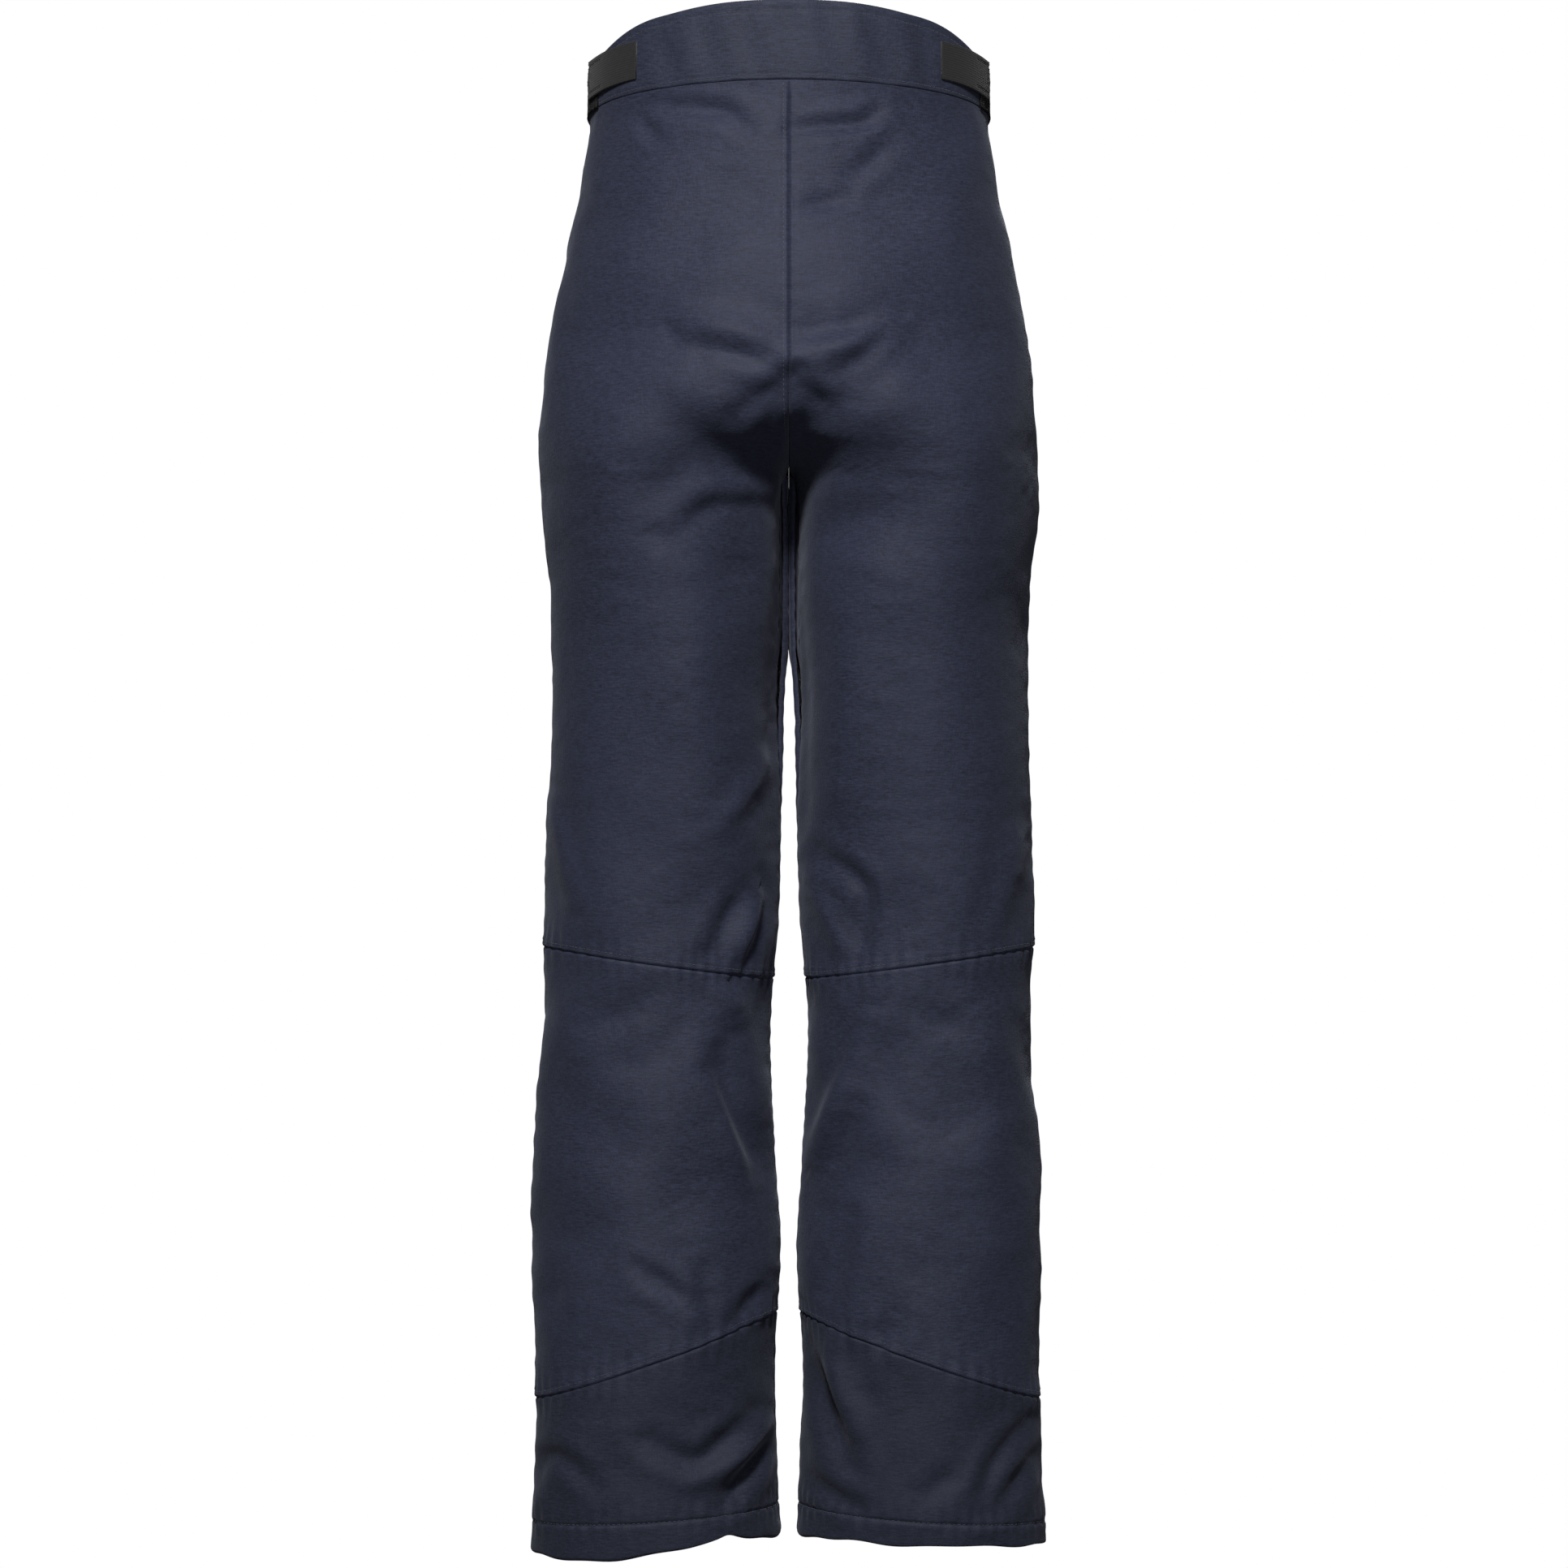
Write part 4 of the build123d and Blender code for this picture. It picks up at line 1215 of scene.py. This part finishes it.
def inside_layers(m):
    """Padding, lining, pocket bags and fly shield inside the shell."""
    steps = np.linspace(0, 1, 120)
    for side in SIDES:
        z, t = place(side, steps[:, None], steps, band_seam, across_leg(HEM), back_start, front_end)
        p = base(side, z, t)
        ripple = 0.8 * noise(p * np.array([1, 1, 0.6]), 22, side + 20) + 3 * near_zips(p)
        wadding = cloth(side, z, t, 3.4, 0)
        piece = inside_layer("wadding", side, wadding, m["wadding"], "padding")
        lining = cloth(side, z, t, 5.8 + ripple, 0)
        lining[:2, :, 2] += np.array([7, 3])[:, None]
        inside_layer("lining_cloth", side, lining, m["lining"], "lining")
        pouch(side, m["facing"])
    fly_shield(m["band"])


def inside_layer(name, side, points, material, replaced):
    """A single layer of one half."""
    faces = grid_faces(*points.shape[:2], flip=side > 0)
    piece = mesh_object(node_name(name, side), points, faces, material, "trousers")
    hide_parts(node_name(replaced, side))
    return piece


def pouch(side, material):
    """A flat pocket bag: two layers that part in the middle and meet at a stitched rim."""
    u, v = np.meshgrid(np.linspace(0, 1, 34), np.linspace(0, 1, 52))
    (start, end), (top, bottom) = POUCH_ANGLES, POUCH_HEIGHTS
    t, z = start + (end - start) * u, top + (bottom - top) * v
    swell = (1.5 * (np.sin(PI * u) * np.sin(PI * v)) ** 0.4)[..., None]
    n = normals(side, z, t)
    p = cloth(side, z, t, 8.6, 0)
    p = p + n * (0.5 * noise(p, 20, 9))[..., None]
    piece = two_sided(node_name("pocket_pouch", side), p + n * swell, p - n * swell, material, side > 0)
    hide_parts(node_name("pocket_bag", side))


def fly_shield(material):
    """The flap of cloth behind the fly zip."""
    t, z = np.meshgrid(np.linspace(PI / 2 - 0.19, PI / 2 + 0.19, 24), np.linspace(-62, -214, 60))
    n = normals(1, z, t)
    p = round_waist(z, t, 7.2)
    p = p + n * (0.4 * noise(p, 18, 4))[..., None]
    piece = two_sided("fly_shield_cloth", p + n * 0.5, p - n * 0.5, material, True)
    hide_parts("fly_shield")


def cuff_depth(z):
    """How far inside the leg the snow cuff's surface lies."""
    return 6.3 + 16 * smooth(-z, 852, 970)


def snow_cuffs(m):
    """Gathered inner snow cuffs with their ribbed elastic."""
    t = np.linspace(-PI, PI, 400, endpoint=False)
    for side in SIDES:
        cuff_cloth(side, t, m["cuff"])
        cuff_grip(side, t, m["grip"])


def gathers(t):
    """The even ripple that the elastic draws into the cuff."""
    return np.sin(34 * t + 1.3 * np.sin(5 * t))


def cuff_cloth(side, angles, material):
    """The cuff's cloth, gathered more and more towards its elastic."""
    t, z = np.meshgrid(angles, np.linspace(-853, -971, 60))
    gather = smooth(-z, 856, 940)
    ripple = gather * (1.1 * gathers(t) + 0.6 * np.sin(61 * t + 2 * np.sin(3 * t)))
    n = normals(side, z, t)
    p = cloth(side, z, t, cuff_depth(z) + 0.4, 0) + n * (ripple - 0.6 * gather)[..., None]
    piece = two_sided(node_name("cuff_cloth", side), p, p - n * 0.7, material, side > 0, True)
    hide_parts(node_name("snow_cuff", side))


def cuff_grip(side, t, material):
    """The ribbed elastic round the cuff's lower edge."""
    rings = []
    for depth, rows in ((1.3, np.linspace(-950, -971, 22)), (2.9, np.linspace(-971, -950, 22))):
        for height in rows:
            rib = 0.22 * np.cos((height + 950) * 2 * PI / 2.1)
            z = np.full_like(t, height)
            skin = cloth(side, z, t, cuff_depth(z) + depth, 0)
            rings.append(skin + normals(side, z, t) * (rib + 0.25 * gathers(t))[..., None])
    rings.append(rings[0])
    faces = grid_faces(len(rings), len(t), True, flip=side > 0)
    piece = mesh_object(node_name("cuff_grip", side), rings, faces, material, "trousers")
    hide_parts(node_name("cuff_elastic", side))


def small_fabric(m):
    """Hanger loops and the blank label."""
    hanger_ribbons(m["ribbon"])
    blank_label(m["label"])


def hanger_ribbons(material):
    """A standing loop of ribbon inside each side of the waist."""
    angle = np.linspace(0, 2 * PI, 64, endpoint=False)
    long = 18.5 * np.sign(np.sin(angle)) * np.minimum(np.abs(np.sin(angle)) * 3, 1)
    points = []
    for side in SIDES:
        x = base(side, np.array(-20.0), np.array(0.0), 3.6)[0] - side * 6.6
        for inset in (0.0, 1.5):
            for y in (-4.0, -3.8, 3.8, 4.0):
                edge = 0.15 if abs(y) == 4 else 0
                half = 4.4 - inset + (edge if inset else -edge)
                across, up = half * np.cos(angle), half * np.sin(angle)
                points.append(np.stack([x + across, np.full_like(angle, y), -40 + long + up], -1))
    faces = []
    for start in (0, 8):
        for a, b in zip(RIBBON_RINGS, RIBBON_RINGS[1:]):
            low, high = (start + a) * 64, (start + b) * 64
            for k in range(64):
                after = (k + 1) % 64
                faces.append([low + k, low + after, high + after, high + k])
    piece = mesh_object("hanger_ribbons", np.vstack(points), faces, material, "trousers")
    fix_normals(piece)
    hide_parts("hanger_loops")


def blank_label(material):
    """The label that hangs from the facing at the middle of the back."""
    u, v = np.meshgrid(np.linspace(-1, 1, 20), np.linspace(0, 1, 44))
    z, t = 5 - 72 * v, -PI / 2 + u * np.radians(6.8)
    depth = 5.6 + 2.6 * smooth(-z, 0, 14) + 0.5 * np.sin(3 * v + u)
    n = normals(1, z, t)
    p = base(1, z, t, depth)
    piece = two_sided("blank_label", p + n * 0.2, p - n * 0.2, material, True)
    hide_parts("care_label")


def settling_halves(rows, columns):
    """Points and outward directions of a coarse grid of each half, slightly uneven."""
    points, outward = [], []
    for side in SIDES:
        v, u = np.meshgrid(np.linspace(0, 1, rows), np.linspace(0, 1, columns), indexing="ij")
        z, t = place(side, v, u, band_seam, across_leg(EDGE), back_start, front_end)
        p, n = base(side, z, t), normals(side, z, t)
        p = p + n * (0.6 * noise(p, 40, side + 30))[..., None]
        p[..., 0] = side * np.maximum(side * p[..., 0], 0)
        points.append(p.reshape(-1, 3))
        outward.append(n)
    return np.vstack(points), outward


def hold_seams(piece, index):
    """Pins the waist, and holds the seams and the hem loosely."""
    rows, columns = index.shape[1:]
    weight = np.full((rows, columns), 0.08)
    weight[:, [0, -1, columns // 2]] = 0.3
    weight[:2] = 1
    weight[-3:] = 0.3
    held = np.zeros(len(piece.data.vertices))
    np.maximum.at(held, index.reshape(-1), np.tile(weight.reshape(-1), 2))
    hold = piece.vertex_groups.new(name="hold")
    for value in np.unique(held):
        hold.add(np.nonzero(held == value)[0].tolist(), float(value), "REPLACE")


def simulated(piece, frames):
    """The points of a piece after it has moved as padded cloth."""
    modifier = piece.modifiers.new("Cloth", "CLOTH")
    settings = modifier.settings
    settings.quality = 5
    settings.mass = 0.35
    settings.tension_stiffness = settings.compression_stiffness = 12
    settings.shear_stiffness = 6
    settings.bending_stiffness = 2.5
    settings.vertex_group_mass = "hold"
    settings.pin_stiffness = 1
    settings.shrink_min = -0.05
    settings.use_pressure = True
    settings.uniform_pressure_force = 1
    settings.effector_weights.gravity = 0
    modifier.collision_settings.use_collision = False
    modifier.point_cache.frame_end = frames
    for number in range(1, frames + 1):
        bpy.context.scene.frame_set(number)
    shaped = piece.evaluated_get(bpy.context.evaluated_depsgraph_get()).to_mesh()
    moved = np.empty(len(shaped.vertices) * 3)
    shaped.vertices.foreach_get("co", moved)
    return moved.reshape(-1, 3) / MM


def hardware(m):
    """Materials of the CAD pieces that stay."""
    table = {
        "tape": ["fly_zip_tape", "pocket_zip_tape_right", "pocket_zip_tape_left"],
        "slider": ["fly_slider", "pocket_slider_right", "pocket_slider_left", "zip_stops"],
        "pull": ["fly_pull", "pocket_pull_right", "pocket_pull_left"],
        "steel": ["snap_studs", "lace_hook_right", "lace_hook_left"],
        "cap": ["snap_caps"],
    }
    for material, names in table.items():
        for name in names:
            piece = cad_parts[name]
            piece.data.materials.clear()
            piece.data.materials.append(m[material])


# The simulation that lets the padded cloth settle.


def settle(rows=126, columns=65, frames=20):
    """Lets a coarse copy of the garment settle and keeps the small puffs and buckles it makes."""
    points, outward = settling_halves(rows, columns)
    cells = np.round(points / 0.6).astype(int)
    _, first, index = np.unique(cells, axis=0, return_index=True, return_inverse=True)
    index = index.reshape(2, rows, columns)
    faces = []
    for half, side in zip(index, SIDES):
        quads = half.reshape(-1)[np.array(grid_faces(rows, columns, flip=side > 0))]
        faces += [quad for quad in quads.tolist() if len(set(quad)) == 4]
    start = points[first]
    piece = mesh_object("settling", start, faces, bpy.data.materials[0], None)
    hold_seams(piece, index)
    offset = (simulated(piece, frames) - start)[index]
    bpy.data.objects.remove(piece, do_unlink=True)
    bpy.context.scene.frame_set(1)
    column = np.arange(columns)
    near_seam = smooth(np.minimum(column, columns - 1 - column), 0, 4)[None, :, None]
    for k, side in enumerate(SIDES):
        height = (offset[k] * outward[k]).sum(-1)
        height = blurred(height, 1.1) - blurred(height, 8)
        kept = np.clip(DRAPE_SHARE * height, -DRAPE_LIMIT, DRAPE_LIMIT)
        DRAPE[side] = kept[..., None] * outward[k] * near_seam


def blurred(grid, width):
    """A grid smoothed over its rows and columns."""
    reach = int(3 * width) + 1
    weights = np.exp(-0.5 * (np.arange(-reach, reach + 1) / width) ** 2)
    weights /= weights.sum()
    for axis in (0, 1):
        pad = [(0, 0), (0, 0)]
        pad[axis] = (reach, reach)
        padded = np.pad(grid, pad, "reflect")
        grid = np.apply_along_axis(lambda line: np.convolve(line, weights, "valid"), axis, padded)
    return grid


# Floor, light and camera.


def emission(name, colour, strength):
    """A material that glows evenly."""
    material = bpy.data.materials.new(name)
    material.use_nodes = True
    tree = material.node_tree
    tree.nodes.clear()
    glow = node(tree, "ShaderNodeEmission", Color=(*colour, 1), Strength=strength)
    out = node(tree, "ShaderNodeOutputMaterial")
    tree.links.new(glow.outputs[0], out.inputs["Surface"])
    return material


def area_light(name, place_at, aim, size, power):
    """A soft rectangular lamp that looks at a point."""
    lamp = bpy.data.lights.new(name, "AREA")
    lamp.shape = "RECTANGLE"
    lamp.size, lamp.size_y = size
    lamp.energy = power
    made = bpy.data.objects.new(name, lamp)
    made.location = place_at
    made.rotation_euler = (Vector(aim) - Vector(place_at)).to_track_quat("-Z", "Y").to_euler()
    bpy.context.scene.collection.objects.link(made)


def surroundings():
    """White behind the garment and a faint light all round it."""
    world = bpy.data.worlds.new("surroundings")
    bpy.context.scene.world = world
    world.use_nodes = True
    tree = world.node_tree
    tree.nodes.clear()
    seen = node(tree, "ShaderNodeBackground", Color=(1, 1, 1, 1), Strength=1.0)
    light = node(tree, "ShaderNodeBackground", Color=(0.97, 0.98, 1, 1), Strength=0.04)
    path = node(tree, "ShaderNodeLightPath")
    both = node(tree, "ShaderNodeMixShader")
    out = node(tree, "ShaderNodeOutputWorld")
    tree.links.new(path.outputs["Is Camera Ray"], both.inputs[0])
    tree.links.new(light.outputs[0], both.inputs[1])
    tree.links.new(seen.outputs[0], both.inputs[2])
    tree.links.new(both.outputs[0], out.inputs["Surface"])


def add_camera(distance=4.2, width=1.0626):
    """The camera, level with the thighs; width is what it sees across at the garment, in metres."""
    camera = bpy.data.cameras.new("camera")
    camera.sensor_width = 36
    camera.lens = camera.sensor_width * distance / width
    made = bpy.data.objects.new("camera", camera)
    made.location = (-0.0033, -distance, -0.488)
    made.rotation_euler = (PI / 2, 0, 0)
    bpy.context.scene.collection.objects.link(made)
    bpy.context.scene.camera = made


def stage():
    """White floor and surroundings, soft lamps and the camera."""
    corners = [(x, y, FLOOR) for x, y in ((-9e3, -9e3), (9e3, -9e3), (9e3, 9e3), (-9e3, 9e3))]
    white = emission("floor_white", (1, 1, 1), 1.0)
    floor = mesh_object("floor", corners, [[0, 1, 2, 3]], white, None)
    floor.visible_diffuse = floor.visible_glossy = floor.visible_shadow = False
    surroundings()
    area_light("key", (-0.35, -2.9, 1.9), (0, 0, -0.25), (0.6, 0.6), 100)
    area_light("fill", (0.5, -3.8, -0.2), (0, 0, -0.5), (1.0, 1.2), 14)
    area_light("front", (0.3, 3.4, 1.5), (0, 0, -0.3), (0.9, 0.9), 110)
    add_camera()
    bpy.context.scene.view_settings.view_transform = "Standard"


ZIPS = zip_frames()
materials = make_materials()
settle()
leg_panels(materials)
hems(materials)
waistband(materials)
straps(materials)
top_stitching(materials)
zips(materials)
inside_layers(materials)
snow_cuffs(materials)
small_fabric(materials)
hardware(materials)
stage()
